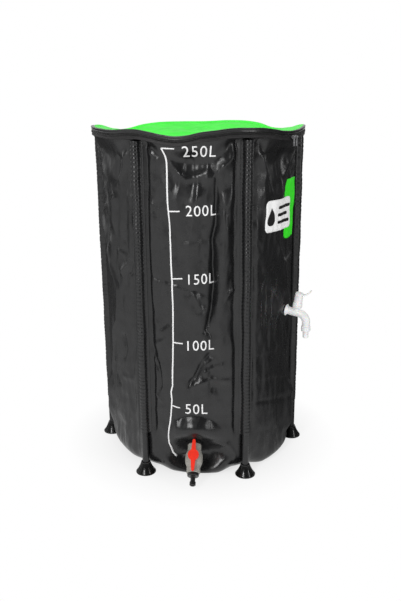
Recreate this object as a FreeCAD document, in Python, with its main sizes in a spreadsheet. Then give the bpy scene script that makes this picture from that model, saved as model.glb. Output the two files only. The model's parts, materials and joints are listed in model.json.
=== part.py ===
# Collapsible water tank: a 250 litre film bag on six push-in poles, millimetres.
# Frame: origin at the middle of the base on the floor, +Z up, the drain faces -Y, the tap is at +X.

import FreeCAD, Part
import Sketcher
import math
import os

V = FreeCAD.Vector

# Driving dimensions, one row of the sheet each
SIZES = [
    ("wall_radius", 289),
    ("wall_thickness", 2),
    ("base_radius", 224),
    ("corner_foot", 64),
    ("corner_soft", 57),
    ("corner_tight", 28),
    ("panel_slack", 4),
    ("weld_gap", 0.3),
    ("seat_gap", 0.5),
    ("rim_height", 1007),
    ("rim_gap", 0.4),
    ("rise_left", 0),
    ("rise_right", -2),
    ("rise_back_right", -5),
    ("rise_back_left", -7),
    ("rise_front_left", 3),
    ("rise_front_right", 5),
    ("hem_drop", 17),
    ("skirt_height", 9),
    ("skirt_thickness", 1.6),
    ("skirt_fold", 6),
    ("tape_thickness", 1.2),
    ("tape_upper", 7),
    ("tape_lower", 9),
    ("coil_height", 5),
    ("coil_depth", 2),
    ("sag_front", 17),
    ("sag_front_right", 11),
    ("sag_back_right", 20),
    ("sag_back", 2),
    ("sag_back_left", 19),
    ("sag_front_left", 3),
    ("lid_thickness", 1.2),
    ("lid_gap", 1.2),
    ("lid_sag", 16),
    ("lid_ripple", 4),
    ("pole_diameter", 20),
    ("pole_wall", 1.8),
    ("pole_drop", 43),
    ("pole_end", 6),
    ("cap_head", 3),
    ("cap_plug", 14),
    ("fit_play", 0.1),
    ("sleeve_play", 0.3),
    ("sleeve_gap", 0.4),
    ("sleeve_thickness", 1.2),
    ("sleeve_width", 37),
    ("sleeve_flank", 31),
    ("sleeve_bottom", 131),
    ("sleeve_drop", 33),
    ("foot_radius", 30),
    ("foot_height", 34),
    ("foot_neck", 13.5),
    ("foot_collar", 3),
    ("foot_rim", 3),
    ("foot_flare", 90),
    ("foot_rib_depth", 3),
    ("foot_rib_rise", 1),
    ("foot_rib_width", 2),
    ("slider_width", 9),
    ("slider_length", 12),
    ("slider_plate", 1.6),
    ("slider_gap", 0.3),
    ("bail_height", 3.3),
    ("bail_width", 2.4),
    ("tab_length", 25),
    ("tab_width", 6.5),
    ("tab_thickness", 1.3),
    ("tab_play", 0.4),
    ("drain_height", 102),
    ("drain_reach", 266),
    ("drain_droop", 39),
    ("drain_azimuth", -90),
    ("drain_flat", 46),
    ("drain_dent", 105),
    ("drain_bore", 9),
    ("drain_spigot", 12.5),
    ("gasket_thickness", 2),
    ("drain_flange", 23),
    ("drain_flange_thickness", 5),
    ("drain_neck", 14),
    ("valve_radius", 20),
    ("valve_bulge", 24.5),
    ("valve_length", 72),
    ("ball_radius", 14.5),
    ("ball_centre", 50),
    ("seat_length", 14),
    ("stem_radius", 4.5),
    ("stem_top", 34),
    ("boss_radius", 9.5),
    ("boss_height", 29),
    ("hub_radius", 16),
    ("hub_thickness", 7),
    ("arm_length", 48),
    ("arm_width", 9),
    ("end_length", 15),
    ("nipple_collar", 17),
    ("nipple_collar_length", 9),
    ("nipple_neck", 7),
    ("nipple_head", 9),
    ("nipple_length", 36),
    ("nipple_bore", 5),
    ("tap_height", 472),
    ("tap_reach", 287),
    ("tap_droop", 8),
    ("tap_azimuth", -22.5),
    ("tap_flat", 44),
    ("tap_dent", 90),
    ("tap_flange", 17.5),
    ("tap_barrel", 12),
    ("tap_spigot", 9.5),
    ("tap_bore", 6.5),
    ("tap_axis_out", 34.5),
    ("bonnet_radius", 14),
    ("bonnet_bottom", 15),
    ("bonnet_band", 14),
    ("bonnet_top", 55),
    ("spout_out", 43.5),
    ("spout_bend", 26),
    ("spout_drop", 17),
    ("nozzle_collar", 13),
    ("nozzle_radius", 8.5),
    ("nozzle_length", 20),
    ("spindle_radius", 4),
    ("plug_radius", 8),
    ("lever_reach", 34),
    ("lever_rise", 20),
    ("lever_width", 10),
    ("lever_thickness", 5),
]

POLES = {"right": 0, "back_right": 60, "back_left": 120, "left": 180, "front_left": -120, "front_right": -60}

# Panel of the rim: its two poles, azimuth of its lowest point, name of its sag
PANELS = [
    ("front_left", "front_right", -98, "sag_front"),
    ("front_right", "right", -31, "sag_front_right"),
    ("right", "back_right", 38, "sag_back_right"),
    ("back_right", "back_left", 90, "sag_back"),
    ("back_left", "left", 145, "sag_back_left"),
    ("left", "front_left", 214, "sag_front_left"),
]

# Stretches of the wall's film, which meet under three of the sleeves: azimuths of their two edges
WALL_PARTS = {"front": (240, 360), "back": (0, 120), "left": (120, 240)}

# Fold of the wall: azimuth and height of its two ends, half width, offset (outward is positive)
FOLDS = [
    ((-78, 290), (-79, 850), 22, -10),
    ((-112, 960), (-99, 800), 26, 6),
    ((-66, 960), (-86, 820), 26, 7),
    ((-92, 935), (-90, 905), 34, -12),
    ((-129, 140), (-130, 900), 22, -13),
    ((-146, 150), (-149, 860), 24, 7),
    ((-163, 930), (-150, 720), 26, -9),
    ((-53, 950), (-45, 780), 24, 6),
    ((-21, 950), (-37, 800), 24, 6),
    ((-32, 880), (-31, 940), 34, -7),
    ((32, 120), (27, 900), 28, -11),
    ((14, 940), (24, 760), 24, 6),
    ((84, 200), (95, 880), 30, -9),
    ((103, 930), (92, 760), 24, 6),
    ((147, 130), (153, 890), 28, -11),
    ((134, 940), (143, 770), 24, 6),
    ((-166, 75), (-166, 200), 36, 20),
    ((-14, 75), (-14, 200), 36, 20),
]

DEGREES_ROUND = 360
PANEL_ANGLE = 60
WALL_STEPS = 72

# Which of the wall's columns lies at azimuth 0, where the closed spline through them starts
FIRST_COLUMN = 1

LID_STEPS = 72
RIM_STEPS = 72
FOOT_RIBS = 20
LID_RIPPLES = 7

# Rings of the lid's sheet as shares of its radius, and where its ripples start to grow and are full
LID_ROWS = [1.0, 0.96, 0.9, 0.8, 0.65, 0.45, 0.25, 0.1]
LID_FADE_START = 0.1
LID_FADE_LENGTH = 0.7

# Soft wall: half the angle of a sleeve, the angle over which it turns into the panel, the tightest base corner
SLEEVE_HALF_ANGLE = 5.0
SLEEVE_FADE_ANGLE = 12
TIGHT_CORNER_AZIMUTH = -20

# Rows of the wall's base corner by its angle, and of its two fittings by their height from the fitting
CORNER_ANGLES = (0, 30, 60, 90)
DRAIN_ROWS = (22, 46, 74)
TAP_ROWS = (-42, -14, 14, 42)
MIDDLE_ROWS = 5
UPPER_ROWS = 9

# Folds grow over these heights above the base corner and below the hem
FIRST_ROW_RISE = 4
LAST_ROW_DROP = 45
LOW_FADE = 70
HIGH_FADE = 50

# Flare to the hem: panel's stand-out, distance below the hem
HEM_FLARE = [(5, 26), (9, 8)]
HEM_STAND = 9
HEM_TURN = 30
HEM_LIP = 0.5

# Length of the cut that opens the wall behind a fitting
HOLE_CUT = 30

# The ribs of a foot end just inside its rim
RIB_INSET = 0.2


class Length:
    """A size that carries its number and the sheet expression it comes from."""

    def __init__(self, number, text):
        self.number = float(number)
        self.text = text

    def __float__(self):
        return self.number

    def combine(self, other, sign, number):
        return Length(number, f"({self.text} {sign} {as_length(other).text})")

    def __add__(self, other):
        return self.combine(other, "+", self.number + float(other))

    def __sub__(self, other):
        return self.combine(other, "-", self.number - float(other))

    def __mul__(self, other):
        return self.combine(other, "*", self.number * float(other))

    def __truediv__(self, other):
        return self.combine(other, "/", self.number / float(other))

    def __neg__(self):
        return Length(-self.number, f"(-1 * {self.text})")

    def leg(self, other):
        """The other leg of a right triangle whose longest side is this length."""
        root = math.sqrt(self.number ** 2 - float(other) ** 2)
        return Length(root, f"sqrt({self.text} ^ 2 - {as_length(other).text} ^ 2)")


def as_length(value):
    if isinstance(value, Length):
        return value
    return Length(value, repr(float(value)))


def fill_sheet(doc):
    """Writes the sizes to the sheet and returns them by name."""
    sheet = doc.addObject("Spreadsheet::Sheet", "Sizes")
    for row, (alias, number) in enumerate(SIZES, start=1):
        sheet.set(f"A{row}", alias)
        sheet.set(f"B{row}", str(number))
        sheet.setAlias(f"B{row}", alias)
    doc.recompute()
    return {alias: Length(sheet.get(alias), f"Sizes.{alias}") for alias, number in SIZES}


doc = FreeCAD.newDocument("water_tank")
S = fill_sheet(doc)
ORIGIN = Length(0, "0")
POLE_RADIUS = S["pole_diameter"] / 2
POLE_RING = S["wall_radius"] + S["sleeve_gap"] + S["sleeve_play"] + POLE_RADIUS
RIM_RADIUS = POLE_RING + POLE_RADIUS + S["sleeve_play"] + S["sleeve_thickness"] + S["rim_gap"]
HEM_HEIGHT = S["rim_height"] - S["hem_drop"]
POLE_TOP = S["rim_height"] - S["pole_drop"]


# Drawing helpers

def bind(item, **sizes):
    """Sets each property and ties it to the sheet."""
    for name, size in sizes.items():
        size = as_length(size)
        setattr(item, name, size.number)
        item.setExpression(name, size.text)
    return item


def new_body(name):
    body = doc.addObject("PartDesign::Body", name)
    body.Label = name
    return body


def origin_plane(body, role):
    return [item for item in body.Origin.OriginFeatures if item.Role == role][0]


def new_sketch(body, name, role):
    sketch = body.newObject("Sketcher::SketchObject", name)
    sketch.AttachmentSupport = [(origin_plane(body, role), "")]
    sketch.MapMode = "FlatFace"
    return sketch


def arc_geometry(start, end, radius):
    """Arc from start to end: it bulges to the right for a positive radius, to the left for a negative one."""
    chord = end - start
    half = chord.Length / 2
    right = V(chord.y, -chord.x, 0).normalize() * (1 if radius > 0 else -1)
    rise = math.sqrt(max(radius ** 2 - half ** 2, 0))
    centre = start + chord * 0.5 - right * rise
    first, last = (start, end) if radius > 0 else (end, start)
    angles = [math.atan2(place.y - centre.y, place.x - centre.x) for place in (first, last)]
    if angles[1] < angles[0]:
        angles[1] += 2 * math.pi
    return Part.ArcOfCircle(Part.Circle(centre, V(0, 0, 1), abs(radius)), *angles)


def tie(sketch, constraint, size):
    number = sketch.addConstraint(constraint)
    sketch.setExpression(f"Constraints[{number}]", size.text)


def tie_point(sketch, index, corner, x, y):
    tie(sketch, Sketcher.Constraint("DistanceX", index, corner, x.number), x)
    tie(sketch, Sketcher.Constraint("DistanceY", index, corner, y.number), y)


def draw_edge(sketch, start, end, bulge):
    """One edge of an outline: its number, and which of its ends come first and last."""
    here, there = [V(x.number, y.number, 0) for x, y in (start, end)]
    if bulge is None:
        return sketch.addGeometry(Part.LineSegment(here, there), False), 1, 2
    if bulge == "cap":
        index = sketch.addGeometry(arc_geometry(here, there, (there - here).Length / 2), False)
        tie(sketch, Sketcher.Constraint("DistanceY", index, 3, start[1].number), start[1])
        return index, 1, 2
    bulge = as_length(bulge)
    index = sketch.addGeometry(arc_geometry(here, there, bulge.number), False)
    tie(sketch, Sketcher.Constraint("Radius", index, abs(bulge.number)), Length(abs(bulge.number), f"abs({bulge.text})"))
    return (index, 1, 2) if bulge.number > 0 else (index, 2, 1)


def draw_outline(sketch, points):
    """Closed outline of (x, y) points. A third value is the radius of an arc to the next point.

    The word cap stands for a half circle to the next point, which is level with this one.
    """
    places = [(as_length(point[0]), as_length(point[1])) for point in points]
    edges = []
    for i, point in enumerate(points):
        bulge = point[2] if len(point) == 3 else None
        edges.append(draw_edge(sketch, places[i], places[(i + 1) % len(points)], bulge))
    for i, (index, first, last) in enumerate(edges):
        after, after_first, after_last = edges[(i + 1) % len(edges)]
        sketch.addConstraint(Sketcher.Constraint("Coincident", index, last, after, after_first))
        tie_point(sketch, index, first, *places[i])
    return sketch


def draw_circle(sketch, x, y, radius):
    x, y, radius = as_length(x), as_length(y), as_length(radius)
    circle = Part.Circle(V(x.number, y.number, 0), V(0, 0, 1), radius.number)
    index = sketch.addGeometry(circle, False)
    tie_point(sketch, index, 3, x, y)
    number = sketch.addConstraint(Sketcher.Constraint("Radius", index, radius.number))
    sketch.setExpression(f"Constraints[{number}]", radius.text)
    return sketch


def revolve(body, points, name="turned"):
    """Turned solid: the outline's x is the radius and its y is the height."""
    sketch = draw_outline(new_sketch(body, f"{name}_profile", "XZ_Plane"), points)
    turned = body.newObject("PartDesign::Revolution", name)
    turned.Profile = sketch
    turned.ReferenceAxis = (sketch, ["V_Axis"])
    turned.Angle = DEGREES_ROUND
    return turned


def pad(body, sketch, length, name="pad", midplane=False):
    feature = body.newObject("PartDesign::Pad", name)
    feature.Profile = sketch
    feature.SideType = "Symmetric" if midplane else "One side"
    bind(feature, Length=length)
    return feature


def pocket(body, sketch, name="pocket"):
    """Cut through everything, both ways from the sketch."""
    feature = body.newObject("PartDesign::Pocket", name)
    feature.Profile = sketch
    feature.Type = "ThroughAll"
    feature.SideType = "Symmetric"
    return feature


def turned_part(name, points, placement):
    body = new_body(name)
    revolve(body, points)
    body.Placement = placement
    return body


def ring_part(name, inner, outer, low, high, placement):
    """Plain ring with a square section, such as a gasket."""
    return turned_part(name, [(inner, low), (outer, low), (outer, high), (inner, high)], placement)


# Places

def polar(radius, azimuth, height):
    angle = math.radians(azimuth)
    return V(float(radius) * math.cos(angle), float(radius) * math.sin(angle), float(height))


def upright(radius, azimuth, height):
    """Placement on the wall: local X points outward, local Z up."""
    return FreeCAD.Placement(polar(radius, azimuth, height), FreeCAD.Rotation(V(0, 0, 1), azimuth))


def fitting_placement(kind):
    """Placement of a fitting: local Z leaves the wall and droops, local Y is the fitting's top."""
    azimuth = float(S[f"{kind}_azimuth"])
    droop = math.radians(float(S[f"{kind}_droop"]))
    out = polar(1, azimuth, 0)
    axis = out * math.cos(droop) - V(0, 0, 1) * math.sin(droop)
    top = out * math.sin(droop) + V(0, 0, 1) * math.cos(droop)
    turn = FreeCAD.Rotation(top.cross(axis), top, axis, "ZYX")
    return FreeCAD.Placement(polar(S[f"{kind}_reach"], azimuth, S[f"{kind}_height"]), turn)


# The soft wall

def angle_between(first, second):
    return (first - second + 180) % DEGREES_ROUND - 180


def smooth(value):
    value = min(max(value, 0), 1)
    return value * value * (3 - 2 * value)


def rim_wave(azimuth):
    """Height of the rim above or below its datum: it has its own rise at each pole and hangs between the poles."""
    for first, last, lowest, sag in PANELS:
        along = (azimuth - POLES[first]) % DEGREES_ROUND
        if along <= PANEL_ANGLE:
            break
    low = lowest - POLES[first]
    share = along / low / 2 if along < low else 1 - (PANEL_ANGLE - along) / (PANEL_ANGLE - low) / 2
    start, end = float(S[f"rise_{first}"]), float(S[f"rise_{last}"])
    return start + (end - start) * smooth(along / PANEL_ANGLE) - float(S[sag]) * math.sin(math.pi * share) ** 2


def panel_share(azimuth):
    """0 at a pole's sleeve, 1 at mid panel."""
    nearest = min(abs(angle_between(azimuth, pole)) for pole in POLES.values())
    return smooth((nearest - SLEEVE_HALF_ANGLE) / SLEEVE_FADE_ANGLE)


def fold_offset(azimuth, height):
    """Sum of the folds at one place of the unrolled wall."""
    radius = float(S["wall_radius"])
    total = 0
    for (first_azimuth, first_height), (last_azimuth, last_height), half_width, offset in FOLDS:
        first = V(0, first_height, 0)
        last = V(math.radians(angle_between(last_azimuth, first_azimuth)) * radius, last_height, 0)
        place = V(math.radians(angle_between(azimuth, first_azimuth)) * radius, height, 0)
        run = last - first
        share = min(max((place - first).dot(run) / run.dot(run), 0), 1)
        distance = (place - first - run * share).Length
        total += offset * math.exp(-(distance / half_width) ** 2)
    return total


def seat_blend(kind, azimuth, height, radius):
    """Pulls the wall onto the flat seat of a fitting, which tilts with the fitting's droop."""
    reach = float(S[f"{kind}_reach"])
    across = math.radians(angle_between(azimuth, float(S[f"{kind}_azimuth"]))) * reach
    rise = height - float(S[f"{kind}_height"])
    flat = float(S[f"{kind}_flat"])
    weight = 1 - smooth((math.hypot(across, rise) - flat) / (float(S[f"{kind}_dent"]) - flat))
    if weight == 0:
        return radius
    tilt = math.tan(math.radians(float(S[f"{kind}_droop"])))
    turn = math.radians(angle_between(azimuth, float(S[f"{kind}_azimuth"])))
    seat = (reach + rise * tilt) / math.cos(turn) / stand_out(WALL_STEPS)
    return radius + (seat - radius) * weight


def corner_radius(azimuth):
    """The base is round behind each foot; between them it is soft at the left and square at the right."""
    share = (1 + math.cos(math.radians(azimuth - TIGHT_CORNER_AZIMUTH))) / 2
    soft, foot = float(S["corner_soft"]), float(S["corner_foot"])
    panel = soft + (float(S["corner_tight"]) - soft) * smooth(share)
    return foot + (panel - foot) * panel_share(azimuth)


def wall_profile(azimuth):
    """Outer line of the wall at one azimuth, from the base weld up: radius, height, normal angle."""
    radius = float(S["wall_radius"])
    base = float(S["base_radius"])
    corner = corner_radius(azimuth)
    start = radius - corner
    line = [(base, 0, 0), (base + (start - base) / 2, 0, 0)]
    for angle in CORNER_ANGLES:
        turn = math.radians(angle)
        line.append((start + corner * math.sin(turn), corner * (1 - math.cos(turn)), angle))
    share = panel_share(azimuth)
    top = float(HEM_HEIGHT) + rim_wave(azimuth)
    for height in wall_heights(corner + FIRST_ROW_RISE, top - LAST_ROW_DROP):
        fade = smooth((height - corner) / LOW_FADE) * smooth((top - height) / HIGH_FADE)
        out = radius + share * fade * (fold_offset(azimuth, height) - float(S["panel_slack"]))
        out = seat_blend("drain", azimuth, height, out)
        out = seat_blend("tap", azimuth, height, out)
        line.append((out, height, 90))
    hem = float(RIM_RADIUS) - float(S["weld_gap"])
    for stand, below in HEM_FLARE:
        line.append((radius + stand * share, top - below, 90))
    line.append((radius + HEM_STAND, top, HEM_TURN))
    line.append((hem, top + HEM_LIP, 0))
    return line


def wall_heights(low, high):
    """Heights of the wall's rows: close together at the two fittings, and even between them."""
    drain, tap = float(S["drain_height"]), float(S["tap_height"])
    heights = [low + (drain - low) * share for share in (0, 0.5, 1)]
    heights += [drain + step for step in DRAIN_ROWS]
    heights += spread(heights[-1], tap + TAP_ROWS[0], MIDDLE_ROWS)
    heights += [tap + step for step in TAP_ROWS[1:]]
    heights += spread(heights[-1], high, UPPER_ROWS)
    return heights


def spread(start, end, count):
    """Even heights after the start, up to and with the end."""
    return [start + (end - start) * (step + 1) / count for step in range(count)]


def stand_out(steps):
    """How far the poles of a cubic spline stand outside the circle that it makes."""
    return 3 / (2 + math.cos(math.radians(DEGREES_ROUND / steps)))


def round_surface(rows):
    """Smooth surface closed round the tank, through rows of points that share their azimuths."""
    steps = len(rows[0])
    count = len(rows)
    scale = stand_out(steps)
    poles = [[V(p.x * scale, p.y * scale, p.z) for p in row] for row in rows]
    surface = Part.BSplineSurface()
    inner_knots = count - 3
    surface.buildFromPolesMultsKnots(
        poles,
        [4] + [1] * (inner_knots - 1) + [4],
        [1] * (steps + 1),
        list(range(inner_knots + 1)),
        list(range(steps + 1)),
        False,
        True,
        3,
        3,
    )
    return surface


def edge_face(first, last):
    """Narrow face between the two end rings of a pair of surfaces."""
    return Part.makeRuledSurface(first, last)


def wall_part(surface, first, last):
    """Stretch of a round surface between two azimuths."""
    part = surface.copy()
    low, high = part.bounds()[:2]
    part.segment(low, high, first * WALL_STEPS / DEGREES_ROUND, last * WALL_STEPS / DEGREES_ROUND)
    return part


def solid_of(faces):
    shell = Part.makeShell(faces)
    shell.sewShape()
    solid = Part.makeSolid(Part.Shell(shell.Faces))
    if solid.Volume < 0:
        solid.reverse()
    return solid


def closed_film(outer, inner):
    """Solid between two surfaces with the same four edges."""
    first_u, last_u, first_v, last_v = outer.bounds()
    faces = [outer.toShape(), inner.toShape()]
    for u in (first_u, last_u):
        faces.append(edge_face(outer.uIso(u).toShape(), inner.uIso(u).toShape()))
    for v in (first_v, last_v):
        faces.append(edge_face(outer.vIso(v).toShape(), inner.vIso(v).toShape()))
    return solid_of(faces)


def wall_rows(inset):
    """Rows of points of the wall, moved inward from its outer side along its normal."""
    lines = []
    for step in range(WALL_STEPS):
        azimuth = (step - FIRST_COLUMN) * DEGREES_ROUND / WALL_STEPS
        line = []
        for radius, height, normal in wall_profile(azimuth):
            turn = math.radians(normal)
            line.append(polar(radius - inset * math.sin(turn), azimuth, height + inset * math.cos(turn)))
        lines.append(line)
    return [list(row) for row in zip(*lines)]


def make_bag_wall():
    """The film wall in three stretches, with the holes of the two fittings in the front one."""
    outer = round_surface(wall_rows(0))
    inner = round_surface(wall_rows(float(S["wall_thickness"])))
    for name, edges in WALL_PARTS.items():
        solid = closed_film(wall_part(outer, *edges), wall_part(inner, *edges))
        if name == "front":
            for kind in ("drain", "tap"):
                hole = Part.makeCylinder(float(S[f"{kind}_spigot"] + S["sleeve_play"]), HOLE_CUT, V(0, 0, -HOLE_CUT / 2))
                hole.Placement = fitting_placement(kind)
                solid = solid.cut(hole)
        item = doc.addObject("Part::Feature", f"bag_wall_{name}")
        item.Shape = solid.Solids[0] if len(solid.Solids) == 1 else solid


def make_bag_base():
    base = doc.addObject("Part::Cylinder", "bag_base")
    bind(base, Radius=S["base_radius"] - S["weld_gap"], Height=S["wall_thickness"])
    return base


# The rim: hem, zip and lid

def wave_edge(radius, height):
    """Closed round edge that follows the rim's wave."""
    points = []
    for step in range(RIM_STEPS):
        azimuth = step * DEGREES_ROUND / RIM_STEPS
        points.append(polar(radius, azimuth, float(height) + rim_wave(azimuth)))
    curve = Part.BSplineCurve()
    curve.interpolate(Points=points, PeriodicFlag=True)
    return curve.toShape()


def wave_ring(name, section):
    """Solid ring whose section is a closed line of (radius, height at a pole)."""
    edges = [wave_edge(radius, height) for radius, height in section]
    item = doc.addObject("Part::Feature", name)
    item.Shape = solid_of([edge_face(edge, edges[(i + 1) % len(edges)]) for i, edge in enumerate(edges)])
    return item


SKIRT_LOW = S["rim_height"] - S["skirt_height"]
UPPER_LOW = SKIRT_LOW - S["tape_upper"]
COIL_MIDDLE = UPPER_LOW - S["weld_gap"] / 2
COIL_IN = RIM_RADIUS + S["tape_thickness"] + S["weld_gap"] / 3
COIL_OUT = COIL_IN + S["coil_depth"]


def make_rim():
    """Lower tape on the hem, the zip's coil, the upper tape and the lid's skirt."""
    inner = float(RIM_RADIUS)
    face = float(RIM_RADIUS + S["tape_thickness"])
    gap = float(S["weld_gap"])
    top = float(S["rim_height"])
    skirt = float(S["skirt_thickness"])
    skirt_low = float(SKIRT_LOW)
    upper_low = float(UPPER_LOW)
    lower_high = upper_low - gap
    lower_low = lower_high - float(S["tape_lower"])
    upper_high = skirt_low - gap
    wave_ring("zip_tape_lower", [(inner, lower_low), (face, lower_low), (face, lower_high), (inner, lower_high)])
    wave_ring("zip_tape_upper", [(inner, upper_low), (face, upper_low), (face, upper_high), (inner, upper_high)])
    coil_in, coil_out = float(COIL_IN), float(COIL_OUT)
    quarter = float(S["coil_height"] / 4)
    low, high = float(COIL_MIDDLE) - 2 * quarter, float(COIL_MIDDLE) + 2 * quarter
    wave_ring("zip_coil", [(coil_in, low), (coil_out, low + quarter), (coil_out, high - quarter), (coil_in, high)])
    fold = inner - float(S["skirt_fold"])
    wave_ring("lid_skirt", [
        (inner, skirt_low),
        (inner + skirt, skirt_low),
        (inner + skirt, top),
        (fold, top),
        (fold, top - skirt),
        (inner, top - skirt),
    ])


def lid_height(share, azimuth):
    """Height of the lid's top: it follows the rim at its edge and sags towards its middle."""
    edge = float(S["rim_height"] - S["skirt_thickness"] - S["lid_gap"])
    sag = float(S["lid_sag"]) * (1 - share ** 2)
    fade = smooth((share - LID_FADE_START) / LID_FADE_LENGTH)
    ripple = float(S["lid_ripple"]) * math.cos(math.radians(azimuth * LID_RIPPLES)) * math.sin(math.pi * share) ** 2
    return edge - sag + fade * (rim_wave(azimuth) + ripple)


def lid_rows(drop):
    edge = float(RIM_RADIUS - S["weld_gap"])
    rows = []
    for share in LID_ROWS:
        azimuths = [step * DEGREES_ROUND / LID_STEPS for step in range(LID_STEPS)]
        rows.append([polar(edge * share, azimuth, lid_height(share, azimuth) - drop) for azimuth in azimuths])
    return rows


def make_lid_panel():
    """Green top of the lid, one sheet from the rim to its middle."""
    top = round_surface(lid_rows(0))
    under = round_surface(lid_rows(float(S["lid_thickness"])))
    first_u, last_u = top.bounds()[:2]
    rim = edge_face(top.uIso(first_u).toShape(), under.uIso(first_u).toShape())
    discs = [Part.Face(Part.Wire(surface.uIso(last_u).toShape())) for surface in (top, under)]
    item = doc.addObject("Part::Feature", "lid_panel")
    item.Shape = solid_of([top.toShape(), under.toShape(), rim] + discs)
    return item


# The zip's sliders

SLIDER_AZIMUTHS = {"1": -28.5, "2": -31.2}
TAB_AXIS_OUT = COIL_OUT + S["slider_gap"] + S["slider_plate"] + S["bail_height"]
EYE_RADIUS = S["bail_width"] / 2 + S["tab_play"] + S["tab_thickness"] / 2


def slider_place(azimuth, radius):
    return upright(radius, azimuth, float(COIL_MIDDLE) + rim_wave(azimuth))


def make_slider(number, azimuth):
    """Plate over the coil, with a bail that carries the pull tab's eye."""
    body = new_body(f"slider_{number}")
    half_length, half_width = S["slider_length"] / 2, S["slider_width"] / 2
    nose = S["slider_width"] / 4
    draw_plate = new_sketch(body, "plate_outline", "YZ_Plane")
    draw_outline(draw_plate, [
        (-half_length, -nose),
        (-half_length + nose, -half_width),
        (half_length - nose, -half_width),
        (half_length, -nose),
        (half_length, nose),
        (half_length - nose, half_width),
        (-half_length + nose, half_width),
        (-half_length, nose),
    ])
    pad(body, draw_plate, S["slider_plate"], "plate")
    reach = S["slider_plate"] + S["bail_height"]
    half_bar = S["bail_width"] / 2
    inner = half_length - S["bail_width"]
    bail = new_sketch(body, "bail_outline", "XY_Plane")
    draw_outline(bail, [
        (S["slider_plate"] / 2, -half_length + nose),
        (reach + half_bar, -half_length + nose),
        (reach + half_bar, half_length - nose),
        (S["slider_plate"] / 2, half_length - nose),
    ])
    pad(body, bail, S["bail_width"], "bail", midplane=True)
    window = new_sketch(body, "bail_window", "XY_Plane")
    draw_outline(window, [
        (S["slider_plate"], -inner),
        (reach - half_bar, -inner),
        (reach - half_bar, inner),
        (S["slider_plate"], inner),
    ])
    pocket(body, window, "window")
    body.Placement = slider_place(azimuth, COIL_OUT + S["slider_gap"])
    return body


def make_pull_tab(number, azimuth):
    """Cast tab: an eye round the bail and a tongue that hangs from it."""
    body = new_body(f"pull_tab_{number}")
    eye_length = S["slider_length"] - S["bail_width"] * 2 - S["tab_play"] * 2
    half_tongue = S["tab_thickness"] / 2
    eye = new_sketch(body, "eye_outline", "XZ_Plane")
    draw_circle(eye, 0, 0, EYE_RADIUS + half_tongue)
    pad(body, eye, eye_length, "eye", midplane=True)
    tongue = new_sketch(body, "tongue_outline", "YZ_Plane")
    half_width = S["tab_width"] / 2
    draw_outline(tongue, [
        (-half_width, -EYE_RADIUS),
        (-half_width, -S["tab_length"] + half_width, "cap"),
        (half_width, -S["tab_length"] + half_width),
        (half_width, -EYE_RADIUS),
    ])
    pad(body, tongue, S["tab_thickness"], "tongue", midplane=True)
    bore = new_sketch(body, "eye_bore", "XZ_Plane")
    draw_circle(bore, 0, 0, S["bail_width"] * 0.7072 + S["tab_play"])
    pocket(body, bore, "bore")
    body.Placement = slider_place(azimuth, TAB_AXIS_OUT)
    return body


# Poles, feet and sleeves

def make_pole(place, azimuth):
    inner = POLE_RADIUS - S["pole_wall"]
    placement = upright(POLE_RING, azimuth, 0)
    ring_part(f"pole_{place}", inner, POLE_RADIUS, S["pole_end"], POLE_TOP, placement)
    plug = inner - S["fit_play"]
    dome = S["cap_head"] / 2
    turned_part(f"pole_cap_{place}", [
        (0, POLE_TOP - S["cap_plug"]),
        (plug, POLE_TOP - S["cap_plug"]),
        (plug, POLE_TOP),
        (POLE_RADIUS, POLE_TOP),
        (POLE_RADIUS, POLE_TOP + dome),
        (POLE_RADIUS - dome, POLE_TOP + S["cap_head"]),
        (0, POLE_TOP + S["cap_head"]),
    ], placement)


def make_foot(place, azimuth):
    """Flared foot: a socket for the pole's end, on a bell with ribs all round."""
    body = new_body(f"foot_{place}")
    socket = POLE_RADIUS + S["fit_play"]
    waist = S["foot_radius"] - S["foot_rib_depth"]
    revolve(body, [
        (0, 0),
        (S["foot_radius"], 0),
        (S["foot_radius"], S["foot_rim"] / 2),
        (waist, S["foot_rim"], -S["foot_flare"]),
        (S["foot_neck"], S["foot_height"] - S["foot_collar"]),
        (S["foot_neck"], S["foot_height"]),
        (socket, S["foot_height"]),
        (socket, S["pole_end"]),
        (0, S["pole_end"]),
    ], "bell")
    rib = new_sketch(body, "rib_outline", "XZ_Plane")
    draw_outline(rib, [
        (S["foot_neck"] - S["foot_rib_rise"], S["foot_rim"] / 2),
        (S["foot_radius"] - RIB_INSET, S["foot_rim"] / 2, -S["foot_flare"]),
        (S["foot_neck"] + S["foot_rib_rise"], S["foot_height"] - S["foot_collar"]),
        (S["foot_neck"] - S["foot_rib_rise"], S["foot_height"] - S["foot_collar"] / 2),
    ])
    blade = pad(body, rib, S["foot_rib_width"], "rib", midplane=True)
    ribs = body.newObject("PartDesign::PolarPattern", "ribs")
    ribs.Originals = [blade]
    ribs.Axis = (rib, ["V_Axis"])
    ribs.Angle = DEGREES_ROUND
    ribs.Occurrences = FOOT_RIBS
    body.Tip = ribs
    body.Placement = upright(POLE_RING, azimuth, 0)
    return body


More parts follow.
